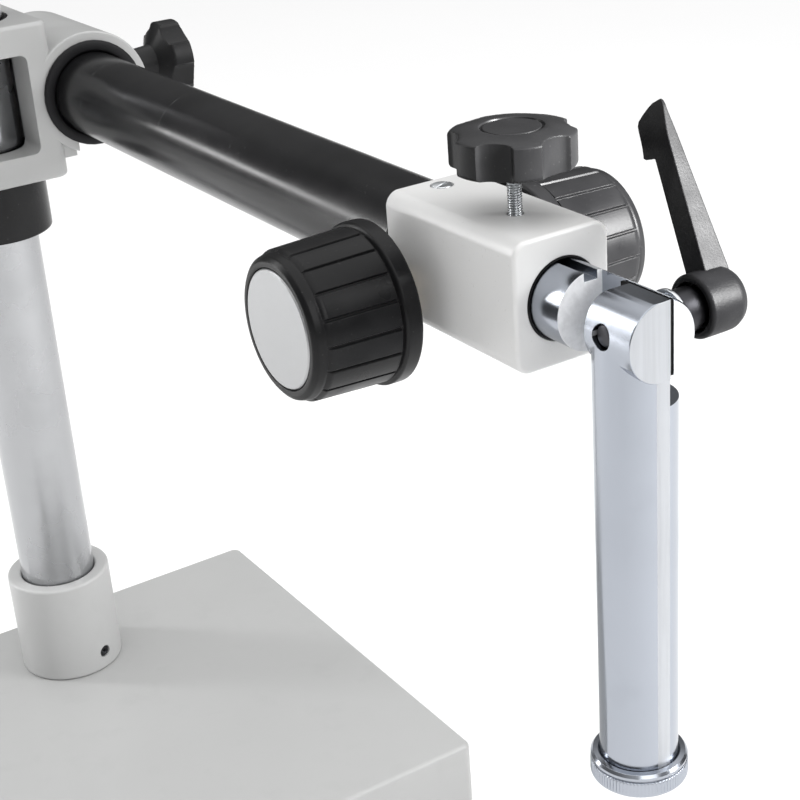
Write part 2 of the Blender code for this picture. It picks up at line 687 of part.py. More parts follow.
def make_rack_shaft():
    middle = (BOOM_X, 0, BOOM_Z)
    rear = -284 * MM
    shaft = rod("rack_shaft", SHAFT_RADIUS, CHEEK_FRONT, rear, "chrome", middle, ALONG_Y,
                0.5 * MM, 48)
    flat = box("cut_shaft_flat", (BOOM_X - 20 * MM, -352 * MM, BOOM_Z - 20 * MM),
               (BOOM_X + 20 * MM, -270 * MM, BOOM_Z - 6.2 * MM), None)
    slot = box("cut_rack_slot", (BOOM_X - 3.5 * MM, -350.3 * MM, BOOM_Z - 20 * MM),
               (BOOM_X + 3.5 * MM, -270 * MM, BOOM_Z - 0.9 * MM), None)
    lap = box("cut_shaft_lap",
              (BOOM_X - 20 * MM, -450 * MM, BOOM_Z - 20 * MM),
              (BOOM_X + SPLIT_X + SPLIT_GAP, SHOULDER_Y, BOOM_Z + 20 * MM), None)
    pin = rod("cut_shaft_pivot", PIVOT_BORE, 40 * MM, 80 * MM, None, (0, PIVOT_Y, PIVOT_Z),
              ALONG_X, steps=20)
    spot = rod("cut_spot_face", 8.6 * MM, BOOM_X + 11.6 * MM, 90 * MM, None,
               (0, PIVOT_Y, PIVOT_Z), ALONG_X, steps=28)
    keyway = box("cut_keyway",
                 (BOOM_X - KEYWAY_HALF_WIDTH, -450 * MM, BOOM_Z + SHAFT_RADIUS - KEYWAY_DEPTH),
                 (BOOM_X + KEYWAY_HALF_WIDTH, -270 * MM, BOOM_Z + 20 * MM), None)
    cut(shaft, flat, slot, lap, pin, spot, keyway)

    side = BOOM_X + SPLIT_X + GAP
    shim_front = TONGUE_FRONT + 0.2 * MM
    shim = box("tilt_shim", (side, shim_front, BOOM_Z - SHIM_HALF_HEIGHT),
               (side + SPLIT_GAP - 2 * GAP, shim_front + SHIM_DEPTH, BOOM_Z + SHIM_HALF_HEIGHT),
               "black_plastic")
    cut(shim, rod("cut_shim", PIVOT_BORE + GAP, 0.0, 90 * MM, None, (0, PIVOT_Y, PIVOT_Z),
                  ALONG_X, steps=20))

    pitch = math.pi * MODULE
    line = -PINION_DROP + PINION_TEETH * MODULE / 2
    start = PINION_Y - 7.5 * pitch
    outline = [(start, line + 4 * MM)]
    for tooth in range(RACK_TEETH):
        middle_y = start + (tooth + 0.5) * pitch
        if middle_y + 0.5 * pitch > rear - 1 * MM:
            break
        for share, drop in ((-0.38, 1.05), (-0.17, -0.9), (0.17, -0.9), (0.38, 1.05)):
            outline.append((middle_y + share * pitch, line + drop * MODULE))
    outline.append((outline[-1][0] + 0.4 * MM, line + 4 * MM))
    rings = [[(x, y, z) for y, z in outline] for x in (-3.2 * MM, 3.2 * MM)]
    lofted("focus_rack", rings, "bright_steel", middle)


def make_post():
    x0, z0 = BOOM_X, BOOM_Z
    top = z0 + CROWN - PIVOT_Z
    profile = [
        (0, top),
        (POST_RADIUS, top),
        (POST_RADIUS, POST_END + 1 * MM - PIVOT_Z),
        (POST_RADIUS - 1 * MM, POST_END - PIVOT_Z),
        (0, POST_END - PIVOT_Z),
    ]
    post = turned("drop_post", profile, "chrome", (x0, PIVOT_Y, PIVOT_Z), steps=48)
    knuckle = rod("add_knuckle", 12.45 * MM, TONGUE_FRONT, TONGUE_BACK + 2 * MM, None,
                  (x0, 0, z0), ALONG_Y, 0.3 * MM, 48)
    join(post, knuckle)
    lap = box("cut_post_lap", (x0 + SPLIT_X, -470 * MM, z0 - LAP_DROP),
              (x0 + 30 * MM, -380 * MM, z0 + 40 * MM), None)
    round_over = tube("cut_post_round", 60 * MM, 12.45 * MM, TONGUE_FRONT - 5 * MM,
                      TONGUE_BACK + 5 * MM, None, (x0, 0, z0), ALONG_Y, 0.0, 48)
    keep = box("keep_low", (x0 - 70 * MM, -500 * MM, z0 - 80 * MM),
               (x0 + 70 * MM, -350 * MM, z0), None)
    cut(round_over, keep)
    crown = box("cut_post_crown", (x0 - 30 * MM, -470 * MM, z0 + CROWN),
                (x0 + 30 * MM, -380 * MM, z0 + 30 * MM), None)
    pin = rod("cut_post_pivot", PIVOT_BORE, 0.0, 80 * MM, None, (0, PIVOT_Y, PIVOT_Z),
              ALONG_X, steps=20)
    outline = []
    for degrees in range(90, -1, -15):
        a = math.radians(degrees)
        outline.append((TONGUE_BACK - TONGUE_ROUND * (1 - math.cos(a)),
                        z0 + CROWN - TONGUE_ROUND * (1 - math.sin(a))))
    behind = PIVOT_Y + POST_RADIUS + 0.15 * MM
    for y, drop in ((TONGUE_BACK, -8.0), (behind, -11.5), (behind + 30 * MM, -11.5)):
        outline.append((y, z0 + drop * MM))
    outline.append((behind + 30 * MM, z0 + 30 * MM))
    outline.append((TONGUE_BACK - TONGUE_ROUND, z0 + 30 * MM))
    back = lofted("cut_post_back", [[(x, y, z) for y, z in outline] for x in (20 * MM, 70 * MM)],
                  None)
    cut(post, lap, round_over, crown, pin, back)

    profile = [
        (POST_RADIUS + 1.0 * MM, RING_HIGH),
        (RING_RADIUS - 1.0 * MM, RING_HIGH - 0.3 * MM),
        (RING_RADIUS, RING_HIGH - 1.5 * MM),
        (RING_RADIUS, RING_LOW + 0.9 * MM),
        (RING_RADIUS - 0.9 * MM, RING_LOW),
        (POST_RADIUS + 0.2 * MM, RING_LOW),
        (POST_RADIUS + 0.2 * MM, RING_HIGH - 0.8 * MM),
    ]
    turned("knurled_ring", profile, "chrome", (x0, PIVOT_Y, 0), steps=48, ring=True)


def make_lever():
    z0 = PIVOT_Z
    at = (0, PIVOT_Y, z0)
    cheek = BOOM_X + 12.2 * MM
    profile = [
        (0, INSERT_END),
        (5.6 * MM, INSERT_END),
        (5.6 * MM, HUB_NEAR),
        (NECK_RADIUS, HUB_NEAR - 0.6 * MM),
        (NECK_RADIUS, cheek + 1.8 * MM),
        (NECK_RADIUS - 0.6 * MM, cheek + 1.3 * MM),
        (PIVOT_BORE - GAP, cheek + 1.3 * MM),
        (PIVOT_BORE - GAP, 35.5 * MM),
        (3.0 * MM, 34.8 * MM),
        (0, 34.8 * MM),
    ]
    turned("lever_insert", profile, "black_casting", at, ALONG_X, 20)
    tube("lever_washer", 8.0 * MM, 4.3 * MM, cheek - 0.3 * MM, cheek + 1.0 * MM, "zinc_steel", at,
         ALONG_X, 0.2 * MM, 24)

    profile = [
        (0, HUB_FAR + 3 * MM),
        (5 * MM, HUB_FAR + 2.6 * MM),
        (8.4 * MM, HUB_FAR + 1.0 * MM),
        (9.8 * MM, HUB_FAR - 1.6 * MM),
        (HUB_RADIUS, HUB_FAR - 5 * MM),
        (HUB_RADIUS, HUB_NEAR + 1 * MM),
        (HUB_RADIUS - 1 * MM, HUB_NEAR),
        (0, HUB_NEAR),
    ]
    handle = turned("lever_handle", profile, "black_casting", at, ALONG_X, 32)
    lean, splay = LEVER_LEAN, LEVER_SPLAY
    along = Vector((math.sin(splay), math.cos(splay) * math.sin(lean),
                    math.cos(splay) * math.cos(lean)))
    across = Vector((0, math.cos(lean), -math.sin(lean)))
    outward = across.cross(along)
    if outward.x < 0:
        outward.negate()
    root = Vector((75.0 * MM, PIVOT_Y, z0))
    rings = []
    sections = (
        (0.0, -4.7, 4.7, -3.1, 6.0),
        (0.14, -4.55, 4.55, -3.0, 6.0),
        (0.738, -4.5, 4.1, -3.0, 1.65),
        (0.764, -4.5, 9.3, -3.0, 1.45),
        (0.82, -4.5, 8.7, -2.9, 1.05),
        (0.93, -4.5, 9.3, -1.9, 0.0),
        (0.955, -4.5, 8.3, -1.6, -0.2),
        (1.0, -3.4, 0.6, -1.05, -0.35),
    )
    for share, side, thumb, inner, outer in sections:
        centre = ((side + thumb) / 2 * MM, (inner + outer) / 2 * MM)
        half = ((thumb - side) / 2 * MM, (outer - inner) / 2 * MM)
        corner = min(LEVER_CORNER, 0.5 * half[0], 0.5 * half[1])
        middle = root + along * (share * LEVER_REACH)
        ring = []
        for u, v in rounded(half[0], half[1], corner, 1, centre):
            ring.append(middle + across * u + outward * v)
        rings.append(ring)
    arm = lofted("add_arm", rings, None)
    join(handle, arm)
    seat = rod("cut_lever_seat", 5.9 * MM, HUB_NEAR - 5 * MM, INSERT_END + GAP, None, at,
               ALONG_X, steps=24)
    mouth = rod("cut_lever_mouth", 7.6 * MM, HUB_NEAR - 5 * MM, HUB_NEAR + 4 * MM, None, at,
                ALONG_X, steps=28)
    screw_way = rod("cut_lever_screw", 3.8 * MM, INSERT_END + 1.5 * MM, 100 * MM, None, at,
                    ALONG_X, steps=20)
    stem_way = rod("cut_lever_stem", 2.2 * MM, 70 * MM, 90 * MM, None, at, ALONG_X, steps=16)
    cut(handle, seat, mouth, screw_way, stem_way)
    profile = [
        (0, SCREW_HEAD + 4 * MM),
        (2.8 * MM, SCREW_HEAD + 4 * MM),
        (3.5 * MM, SCREW_HEAD + 3.4 * MM),
        (3.5 * MM, SCREW_HEAD),
        (1.9 * MM, SCREW_HEAD),
        (1.9 * MM, INSERT_END + GAP),
        (0, INSERT_END + GAP),
    ]
    cap = turned("lever_screw", profile, "zinc_steel", at, ALONG_X, 16)
    slot = box("cut_lever_slot", (SCREW_HEAD + 3 * MM, PIVOT_Y - 5 * MM, z0 - 0.5 * MM),
               (SCREW_HEAD + 6 * MM, PIVOT_Y + 5 * MM, z0 + 0.5 * MM), None)
    cut(cap, slot)


make_base()
make_pole()
make_stop_collar()
make_crosshead()
make_boom()
make_focus_block()
make_focus_drive()
make_rack_shaft()
make_post()
make_lever()

for thing in bpy.data.objects:
    thing.location.y += ORIGIN_SHIFT
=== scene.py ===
"""Looks of the stereo microscope boom stand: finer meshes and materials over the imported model.

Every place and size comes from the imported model: a node's box, or a joint's axis. A piece
is modelled round its own axis (local Z for turned pieces) and then set on that axis.
"""
import json
import math

import bmesh
import bpy
from mathutils import Matrix, Vector

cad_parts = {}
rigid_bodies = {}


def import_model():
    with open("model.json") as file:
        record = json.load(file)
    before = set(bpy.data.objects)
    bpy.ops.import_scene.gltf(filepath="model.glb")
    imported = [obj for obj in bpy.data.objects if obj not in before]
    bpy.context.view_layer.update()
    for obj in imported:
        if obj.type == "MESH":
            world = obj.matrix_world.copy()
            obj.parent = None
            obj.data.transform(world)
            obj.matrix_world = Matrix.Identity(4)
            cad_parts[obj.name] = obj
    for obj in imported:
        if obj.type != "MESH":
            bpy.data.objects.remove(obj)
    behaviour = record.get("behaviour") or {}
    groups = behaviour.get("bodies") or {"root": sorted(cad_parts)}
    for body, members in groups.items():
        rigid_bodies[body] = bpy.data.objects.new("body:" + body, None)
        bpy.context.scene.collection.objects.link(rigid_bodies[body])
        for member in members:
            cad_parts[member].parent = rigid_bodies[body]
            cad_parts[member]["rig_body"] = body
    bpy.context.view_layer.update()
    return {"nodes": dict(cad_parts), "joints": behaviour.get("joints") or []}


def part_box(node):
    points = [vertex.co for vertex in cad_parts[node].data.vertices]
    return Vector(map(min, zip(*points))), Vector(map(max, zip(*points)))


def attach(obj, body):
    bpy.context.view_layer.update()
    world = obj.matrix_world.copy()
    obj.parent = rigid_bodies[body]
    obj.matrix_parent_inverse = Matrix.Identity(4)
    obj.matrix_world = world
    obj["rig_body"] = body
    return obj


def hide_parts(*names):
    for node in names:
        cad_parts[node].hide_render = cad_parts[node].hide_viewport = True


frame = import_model()
NODES = frame["nodes"]
JOINTS = {joint["name"]: joint for joint in frame["joints"]}
MM = 0.001
X, Y, Z = Vector((1, 0, 0)), Vector((0, 1, 0)), Vector((0, 0, 1))


class Box:
    """A CAD node's box at rest, with its middle and its sides."""

    def __init__(self, node):
        low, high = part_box(node)
        self.low = Vector(low)
        self.high = Vector(high)
        self.middle = (self.low + self.high) / 2
        self.side = self.high - self.low


# ---------------------------------------------------------------- mesh helpers


def arc(centre, radius, start, end, steps):
    """Points of an arc, its angles in degrees."""
    points = []
    for step in range(steps + 1):
        angle = math.radians(start + (end - start) * step / steps)
        x = centre[0] + radius * math.cos(angle)
        points.append((x, centre[1] + radius * math.sin(angle)))
    return points


def eased(profile, radius, steps=4, closed=False):
    """A polyline whose corners are rounded, each by no more than its sides allow."""
    points = [Vector(point) for point in profile]
    count = len(points)
    result = []
    for i, point in enumerate(points):
        if not closed and i in (0, count - 1):
            result.append(tuple(point))
            continue
        before = points[i - 1] - point
        after = points[(i + 1) % count] - point
        turn = before.angle(after, math.pi)
        reach = min(radius, before.length * 0.45, after.length * 0.45)
        if turn > math.radians(172) or reach < 1e-6:
            result.append(tuple(point))
            continue
        a = point + before.normalized() * reach
        b = point + after.normalized() * reach
        for step in range(steps + 1):
            t = step / steps
            result.append(tuple(a * (1 - t) ** 2 + point * (2 * t * (1 - t)) + b * t ** 2))
    return result


def rounded(half_x, half_y, radius, steps=8):
    """The outline of a rectangle with rounded corners, anticlockwise."""
    points = []
    for sign_x, sign_y, start in ((1, 1, 0), (-1, 1, 90), (-1, -1, 180), (1, -1, 270)):
        centre = (sign_x * (half_x - radius), sign_y * (half_y - radius))
        points += arc(centre, radius, start, start + 90, steps)
    return points


def smoothed(mesh, degrees=32):
    """Smooth shading, with an edge wherever two faces meet at more than this angle."""
    mesh.polygons.foreach_set("use_smooth", [True] * len(mesh.polygons))
    mesh.set_sharp_from_angle(angle=math.radians(degrees))


def made(name, bm, degrees=32):
    """An object of this bmesh, merged where it closes on itself, facing outwards."""
    bmesh.ops.remove_doubles(bm, verts=bm.verts, dist=1e-6)
    bmesh.ops.recalc_face_normals(bm, faces=bm.faces)
    mesh = bpy.data.meshes.new(name)
    bm.to_mesh(mesh)
    bm.free()
    smoothed(mesh, degrees)
    thing = bpy.data.objects.new(name, mesh)
    bpy.context.scene.collection.objects.link(thing)
    return thing


def skin(name, rings, ends=True, loop=False, degrees=32):
    """A surface through rings of equally many points."""
    bm = bmesh.new()
    rows = [[bm.verts.new(point) for point in ring] for ring in rings]
    count = len(rows[0])
    pairs = list(zip(rows, rows[1:]))
    if loop:
        pairs.append((rows[-1], rows[0]))
    for low, high in pairs:
        for i in range(count):
            j = (i + 1) % count
            bm.faces.new((low[i], low[j], high[j], high[i]))
    if ends and not loop:
        bm.faces.new(rows[0])
        bm.faces.new(rows[-1])
    return made(name, bm, degrees)


def lathe(name, profile, steps=128, loop=False, reach=None, degrees=32):
    """A profile of (radius, height) turned about local Z. reach(angle, r, h) may shift r."""
    rings = []
    for r, h in profile:
        ring = []
        for step in range(steps):
            angle = 2 * math.pi * step / steps
            radius = reach(angle, r, h) if reach else r
            ring.append((radius * math.cos(angle), radius * math.sin(angle), h))
        rings.append(ring)
    return skin(name, rings, ends=False, loop=loop, degrees=degrees)


def bar(name, radius, low, high, ease=0.4 * MM, steps=96):
    """A round bar with eased ends."""
    profile = [(0, high), (radius, high), (radius, low), (0, low)]
    return lathe(name, eased(profile, ease), steps)


def sleeve(name, outer, inner, low, high, ease=0.4 * MM, steps=128):
    """A tube with eased ends."""
    profile = [(outer, high), (outer, low), (inner, low), (inner, high)]
    return lathe(name, eased(profile, ease, closed=True), steps, loop=True)


def block(name, low, high):
    """A helper block for a Boolean."""
    bm = bmesh.new()
    bmesh.ops.create_cube(bm, size=1.0)
    bmesh.ops.scale(bm, vec=Vector(high) - Vector(low), verts=bm.verts)
    bmesh.ops.translate(bm, vec=(Vector(high) + Vector(low)) / 2, verts=bm.verts)
    return made(name, bm)


def aimed(thing, at, axis=Z, spin=0.0):
    """Sets a piece down with its local Z along this axis."""
    turn = Vector(axis).to_track_quat("Z", "Y").to_matrix().to_4x4()
    thing.matrix_world = Matrix.Translation(at) @ turn @ Matrix.Rotation(spin, 4, "Z")
    return thing


def carve(target, operation, helpers, degrees=32):
    """One exact Boolean with all of the helpers, which are used up."""
    group = bpy.data.collections.new("helpers")
    for helper in helpers:
        group.objects.link(helper)
    change = target.modifiers.new("carve", "BOOLEAN")
    change.operation = operation
    change.solver = "EXACT"
    change.operand_type = "COLLECTION"
    change.collection = group
    bpy.context.view_layer.update()
    graph = bpy.context.evaluated_depsgraph_get()
    mesh = bpy.data.meshes.new_from_object(target.evaluated_get(graph))
    target.modifiers.clear()
    old = target.data
    target.data = mesh
    bpy.data.meshes.remove(old)
    mesh.name = target.name
    for helper in helpers:
        bpy.data.objects.remove(helper, do_unlink=True)
    bpy.data.collections.remove(group)
    bm = bmesh.new()
    bm.from_mesh(mesh)
    bmesh.ops.remove_doubles(bm, verts=bm.verts, dist=2e-6)
    bmesh.ops.dissolve_degenerate(bm, dist=2e-6, edges=bm.edges)
    bm.to_mesh(mesh)
    bm.free()
    smoothed(mesh, degrees)


def weighted(thing):
    """Keeps large flat faces flat in the shading."""
    change = thing.modifiers.new("normals", "WEIGHTED_NORMAL")
    change.keep_sharp = True
    change.weight = 80


def machined(piece, look):
    """Gives a piece's flat faces that look out along the boom a second look with the marks of
    milling; on the shaft's shoulder that look is painted lighter, as painted light against the
    shade of its recess.
    """
    piece.data.materials.append(look)
    for face in piece.data.polygons:
        world = piece.matrix_world.to_3x3() @ face.normal
        if world.y < -0.98:
            face.material_index = 1


def dress(piece, node, look, body=None):
    """Puts a finished piece in the place of a CAD node, on that node's body."""
    piece.data.materials.clear()
    piece.data.materials.append(look)
    weighted(piece)
    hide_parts(node)
    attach(piece, body or NODES[node]["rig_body"])


# ---------------------------------------------------------------- materials


class Look:
    """A Principled material, built up from layers that use the object's own coordinates."""

    def __init__(self, name, colour, metallic=0.0, roughness=0.5, specular=0.5):
        self.material = bpy.data.materials.new(name)
        self.material.use_nodes = True
        self.nodes = self.material.node_tree.nodes
        self.links = self.material.node_tree.links
        self.shader = self.nodes["Principled BSDF"]
        self.shader.inputs["Base Color"].default_value = (*colour, 1)
        self.shader.inputs["Metallic"].default_value = metallic
        self.shader.inputs["Roughness"].default_value = roughness
        self.shader.inputs["Specular IOR Level"].default_value = specular
        self.place = self.nodes.new("ShaderNodeTexCoord").outputs["Object"]
        self.colour = None
        self.base = colour
        self.normal = None

    def joined(self, kind, inputs=(), **settings):
        """A new node with these settings, and these inputs set or linked."""
        node = self.nodes.new("ShaderNode" + kind)
        for key, value in settings.items():
            setattr(node, key, value)
        for key, value in dict(inputs).items():
            if isinstance(value, bpy.types.NodeSocket):
                self.links.new(value, node.inputs[key])
            else:
                node.inputs[key].default_value = value
        return node

    def noise(self, scale, stretch=(1, 1, 1), detail=3.0, rough=0.55):
        where = self.joined("Mapping", {"Vector": self.place, "Scale": stretch}).outputs[0]
        inputs = {"Vector": where, "Scale": scale, "Detail": detail, "Roughness": rough}
        return self.joined("TexNoise", inputs).outputs[0]

    def rings(self, scale, axis="Z", wobble=1.5):
        inputs = {"Vector": self.place, "Scale": scale, "Distortion": wobble, "Detail": 2.0}
        inputs["Detail Scale"] = 2.0
        node = self.joined("TexWave", inputs, wave_type="RINGS", rings_direction=axis)
        return node.outputs["Fac"]

    def rubbed_rings(self, heights, width, colour, most):
        """Thin, broken rings round local Z where a sliding piece has rubbed."""
        height = self.joined("SeparateXYZ", {0: self.place}).outputs["Z"]
        patch = self.ranged(self.noise(55, detail=4.0), 0.0, 1.0, 0.47, 0.56)
        for middle in heights:
            offset = self.joined("Math", {0: height, 1: middle}, operation="SUBTRACT").outputs[0]
            away = self.joined("Math", {0: offset}, operation="ABSOLUTE").outputs[0]
            ring = self.ranged(away, 1.0, 0.0, 0.0, width)
            share = self.joined("Math", {0: ring, 1: patch}, operation="MULTIPLY").outputs[0]
            self.tint(share, colour, most)
        return self

    def ranged(self, value, low, high, start=0.3, end=0.7):
        inputs = {"Value": value, "From Min": start, "From Max": end, "To Min": low, "To Max": high}
        return self.joined("MapRange", inputs).outputs[0]

    def tint(self, value, colour, most=1.0):
        """Mixes a colour in where the value is high."""
        node = self.joined("Mix", data_type="RGBA", blend_type="MIX")
        share = self.ranged(value, 0.0, most, 0.0, 1.0)
        self.links.new(share, node.inputs[0])
        if self.colour is None:
            node.inputs[6].default_value = (*self.base, 1)
        else:
            self.links.new(self.colour, node.inputs[6])
        node.inputs[7].default_value = (*colour, 1)
        self.colour = node.outputs[2]
        self.links.new(self.colour, self.shader.inputs["Base Color"])
        return self

    def mottle(self, scale, amount, stretch=(1, 1, 1)):
        """Slow variation between a darker and a lighter shade of the colour."""
        value = self.ranged(self.noise(scale, stretch), 0.0, 1.0)
        lighter = tuple(min(1.0, c * (1 + amount) + amount * 0.02) for c in self.base)
        return self.tint(value, lighter)

    def sheen(self, scale, low, high, stretch=(1, 1, 1)):
        """Roughness that varies between two values."""
        value = self.ranged(self.noise(scale, stretch), low, high)
        self.links.new(value, self.shader.inputs["Roughness"])
        return self

    def relief(self, height, distance, strength=1.0):
        """Adds one layer of bump, distance in metres."""
        inputs = {"Height": height, "Distance": distance, "Strength": strength}
        if self.normal is not None:
            inputs["Normal"] = self.normal
        self.normal = self.joined("Bump", inputs).outputs[0]
        self.links.new(self.normal, self.shader.inputs["Normal"])
        return self

    def eased_edges(self, radius):
        """Rounds sharp edges in the shading by this radius."""
        self.normal = self.joined("Bevel", {"Radius": radius}, samples=4).outputs[0]
        self.links.new(self.normal, self.shader.inputs["Normal"])
        return self

    def worn_edges(self, radius, colour, most=0.6):
        """Bares a colour where a sharp edge is rubbed."""
        bevel = self.joined("Bevel", {"Radius": radius}, samples=4).outputs[0]
        true = self.joined("NewGeometry").outputs["Normal"]
        dot = self.joined("VectorMath", {0: bevel, 1: true}, operation="DOT_PRODUCT")
        edge = self.ranged(dot.outputs["Value"], 1.0, 0.0, 0.86, 0.985)
        patch = self.ranged(self.noise(260), 0.15, 1.0, 0.42, 0.62)
        share = self.joined("Math", {0: edge, 1: patch}, operation="MULTIPLY").outputs[0]
        return self.tint(share, colour, most)

    def specks(self, scale, colour, most, start=0.66):
        """Small marks: dust, pores or nicks."""
        value = self.ranged(self.noise(scale, detail=1.0), 0.0, 1.0, start, start + 0.06)
        return self.tint(value, colour, most)


def painted(name, colour, roughness):
    look = Look(name, colour, 0.0, roughness)
    look.shader.inputs["Coat Weight"].default_value = 0.25
    look.shader.inputs["Coat Roughness"].default_value = 0.22
    look.eased_edges(0.5 * MM)
    look.mottle(14, 0.035)
    look.tint(look.ranged(look.noise(55, detail=5.0), 0.0, 1.0, 0.55, 0.8),
              tuple(c * 0.93 for c in colour), 0.5)
    look.specks(900, (0.45, 0.44, 0.42), 0.25, 0.72)
    look.worn_edges(0.5 * MM, tuple(c * 0.84 for c in colour), 0.35)
    look.sheen(38, roughness - 0.06, roughness + 0.08)
    look.relief(look.noise(620, detail=2.0), 0.05 * MM, 0.22)
    look.relief(look.noise(70, detail=2.0), 0.1 * MM, 0.1)
    return look.material


def turned_steel(name, colour, roughness, lines=2600, along=(1, 1, 1)):
    """Ground or turned steel: fine lines round the axis, faint stains and rubbed patches."""
    look = Look(name, colour, 1.0, roughness)
    look.eased_edges(0.25 * MM)
    look.mottle(9, 0.05)
    look.tint(look.ranged(look.noise(46, detail=6.0), 0.0, 1.0, 0.58, 0.78),
              tuple(c * 0.82 for c in colour), 0.4)
    look.sheen(30, roughness - 0.05, roughness + 0.1)
    fine = look.noise(lines, along, 2.0)
    look.relief(fine, 0.012 * MM, 0.3)
    look.relief(look.noise(120, detail=3.0), 0.04 * MM, 0.05)
    return look.material


def anodised(name, along, rubbed=()):
    look = Look(name, (0.006, 0.006, 0.0065), 0.0, 0.22, 0.2)
    look.eased_edges(0.35 * MM)
    look.mottle(22, 0.3)
    look.tint(look.ranged(look.noise(70, along, 4.0), 0.0, 1.0, 0.6, 0.72),
              (0.02, 0.02, 0.021), 0.5)
    look.worn_edges(0.4 * MM, (0.1, 0.1, 0.105), 0.5)
    look.rubbed_rings(rubbed, 0.35 * MM, (0.12, 0.12, 0.12), 0.8)
    look.specks(700, (0.06, 0.06, 0.06), 0.35, 0.72)
    look.sheen(34, 0.18, 0.27)
    look.relief(look.noise(1500, along, 2.0), 0.01 * MM, 0.35)
    look.relief(look.noise(500, detail=2.0), 0.02 * MM, 0.15)
    return look.material


def moulded(name, colour=(0.008, 0.008, 0.0085), roughness=0.42, grain=1100):
    look = Look(name, colour, 0.0, roughness, 0.18)
    look.eased_edges(0.35 * MM)
    look.mottle(30, 0.3)
    look.worn_edges(0.4 * MM, (0.04, 0.04, 0.04), 0.45)
    look.specks(850, (0.05, 0.05, 0.05), 0.3, 0.71)
    look.sheen(60, roughness - 0.05, roughness + 0.1)
    look.relief(look.noise(grain, detail=2.0), 0.05 * MM, 0.4)
    return look.material


def powder_coated(name):
    look = Look(name, (0.004, 0.004, 0.0045), 0.0, 0.4, 0.11)
    look.eased_edges(0.3 * MM)
    look.mottle(40, 0.35)
    look.worn_edges(0.35 * MM, (0.1, 0.1, 0.1), 0.45)
    look.specks(1300, (0.02, 0.02, 0.02), 0.4, 0.68)
    look.sheen(90, 0.36, 0.5)
    look.relief(look.noise(1500, detail=3.0), 0.12 * MM, 0.55)
    return look.material


def spun_aluminium(name):
    look = Look(name, (0.40, 0.405, 0.41), 0.7, 0.4)
    look.mottle(25, 0.04)
    look.sheen(50, 0.32, 0.42)
    look.relief(look.rings(420, "Z"), 0.008 * MM, 0.5)
    look.relief(look.noise(900, detail=2.0), 0.02 * MM, 0.1)
    return look.material


def plain_metal(name, colour, roughness, grain=900):
    look = Look(name, colour, 1.0, roughness)
    look.eased_edges(0.15 * MM)
    look.mottle(60, 0.08)
    look.tint(look.ranged(look.noise(180, detail=5.0), 0.0, 1.0, 0.55, 0.75),
              tuple(c * 0.7 for c in colour), 0.45)
    look.sheen(120, roughness - 0.06, roughness + 0.12)
    look.relief(look.noise(grain, detail=3.0), 0.02 * MM, 0.3)
    return look.material


def milled(name, colour, metallic=0.75):
    """A face cut by an end mill: upright tool marks, brighter and duller than ground steel."""
    look = Look(name, colour, metallic, 0.42)
    look.eased_edges(0.2 * MM)
    look.mottle(60, 0.06)
    look.tint(look.ranged(look.noise(420, (1, 1, 0.04), 3.0), 0.0, 1.0, 0.42, 0.62),
              tuple(c * 0.86 for c in colour), 0.5)
    look.sheen(60, 0.36, 0.5)
    look.relief(look.noise(900, (1, 1, 0.03), 2.0), 0.05 * MM, 0.5)
    return look.material


def soft_rubber(name):
    look = Look(name, (0.02, 0.02, 0.02), 0.0, 0.8)
    look.mottle(60, 0.4)
    look.specks(700, (0.1, 0.1, 0.095), 0.5, 0.66)
    look.sheen(90, 0.7, 0.9)
    look.relief(look.noise(800, detail=3.0), 0.08 * MM, 0.5)
    return look.material


GREY_PAINT = painted("grey_paint", (0.43, 0.433, 0.43), 0.42)
# The base's grey paint again, made lighter for the collar: painted light on the collar.
COLLAR_PAINT_WITH_PAINTED_LIGHT = painted("collar_paint_with_painted_light", (0.52, 0.523, 0.52), 0.42)
WHITE_PAINT = painted("white_paint", (0.69, 0.69, 0.685), 0.38)
POLE_STEEL = turned_steel("pole_steel", (0.41, 0.415, 0.425), 0.24, 1500, (1, 1, 2.2))
CHROME = turned_steel("chrome_steel", (0.37, 0.393, 0.437), 0.17, 2600, (1, 1, 1.8))
GEAR_STEEL = turned_steel("gear_steel", (0.6, 0.61, 0.63), 0.28)
BUSH_FRONT = Box("boom_bush_front").low.y
BOOM_BLACK = anodised("boom_black", (1, 1, 0.03), [BUSH_FRONT - 28 * MM, BUSH_FRONT - 107 * MM])
COLLAR_BLACK = anodised("collar_black", (1, 1, 1.5))
KNOB_BLACK = moulded("knob_black", (0.005, 0.005, 0.0055), 0.3, 1400)
STAR_BLACK = moulded("star_black", (0.008, 0.008, 0.0085), 0.34, 1000)
BUSH_BLACK = moulded("bush_black", (0.008, 0.008, 0.009), 0.5, 900)
# The darkest, roughest black, put on the shim in the tilt joint's slit: painted shade for the slit.
SLIT_PAINTED_SHADE = moulded("slit_painted_shade", (0.004, 0.004, 0.004), 0.7, 700)
# Two copies of one milled steel. The end face's copy is the darker one; the shoulder's is painted
# much lighter and less metallic, as painted light against the shade in its recess.
MILLED_END = milled("milled_end", (0.50, 0.515, 0.54))
MILLED_SHOULDER_PAINTED_LIGHT = milled("milled_shoulder_painted_light", (0.88, 0.89, 0.91), 0.2)
LEVER_BLACK = powder_coated("lever_black")
DISC_METAL = spun_aluminium("disc_metal")
ZINC = plain_metal("zinc_plate", (0.66, 0.68, 0.70), 0.26)
BRASS = plain_metal("brass", (0.46, 0.39, 0.29), 0.38)
SCREW_BLACK = plain_metal("screw_black", (0.05, 0.05, 0.055), 0.35)
RUBBER = soft_rubber("rubber")

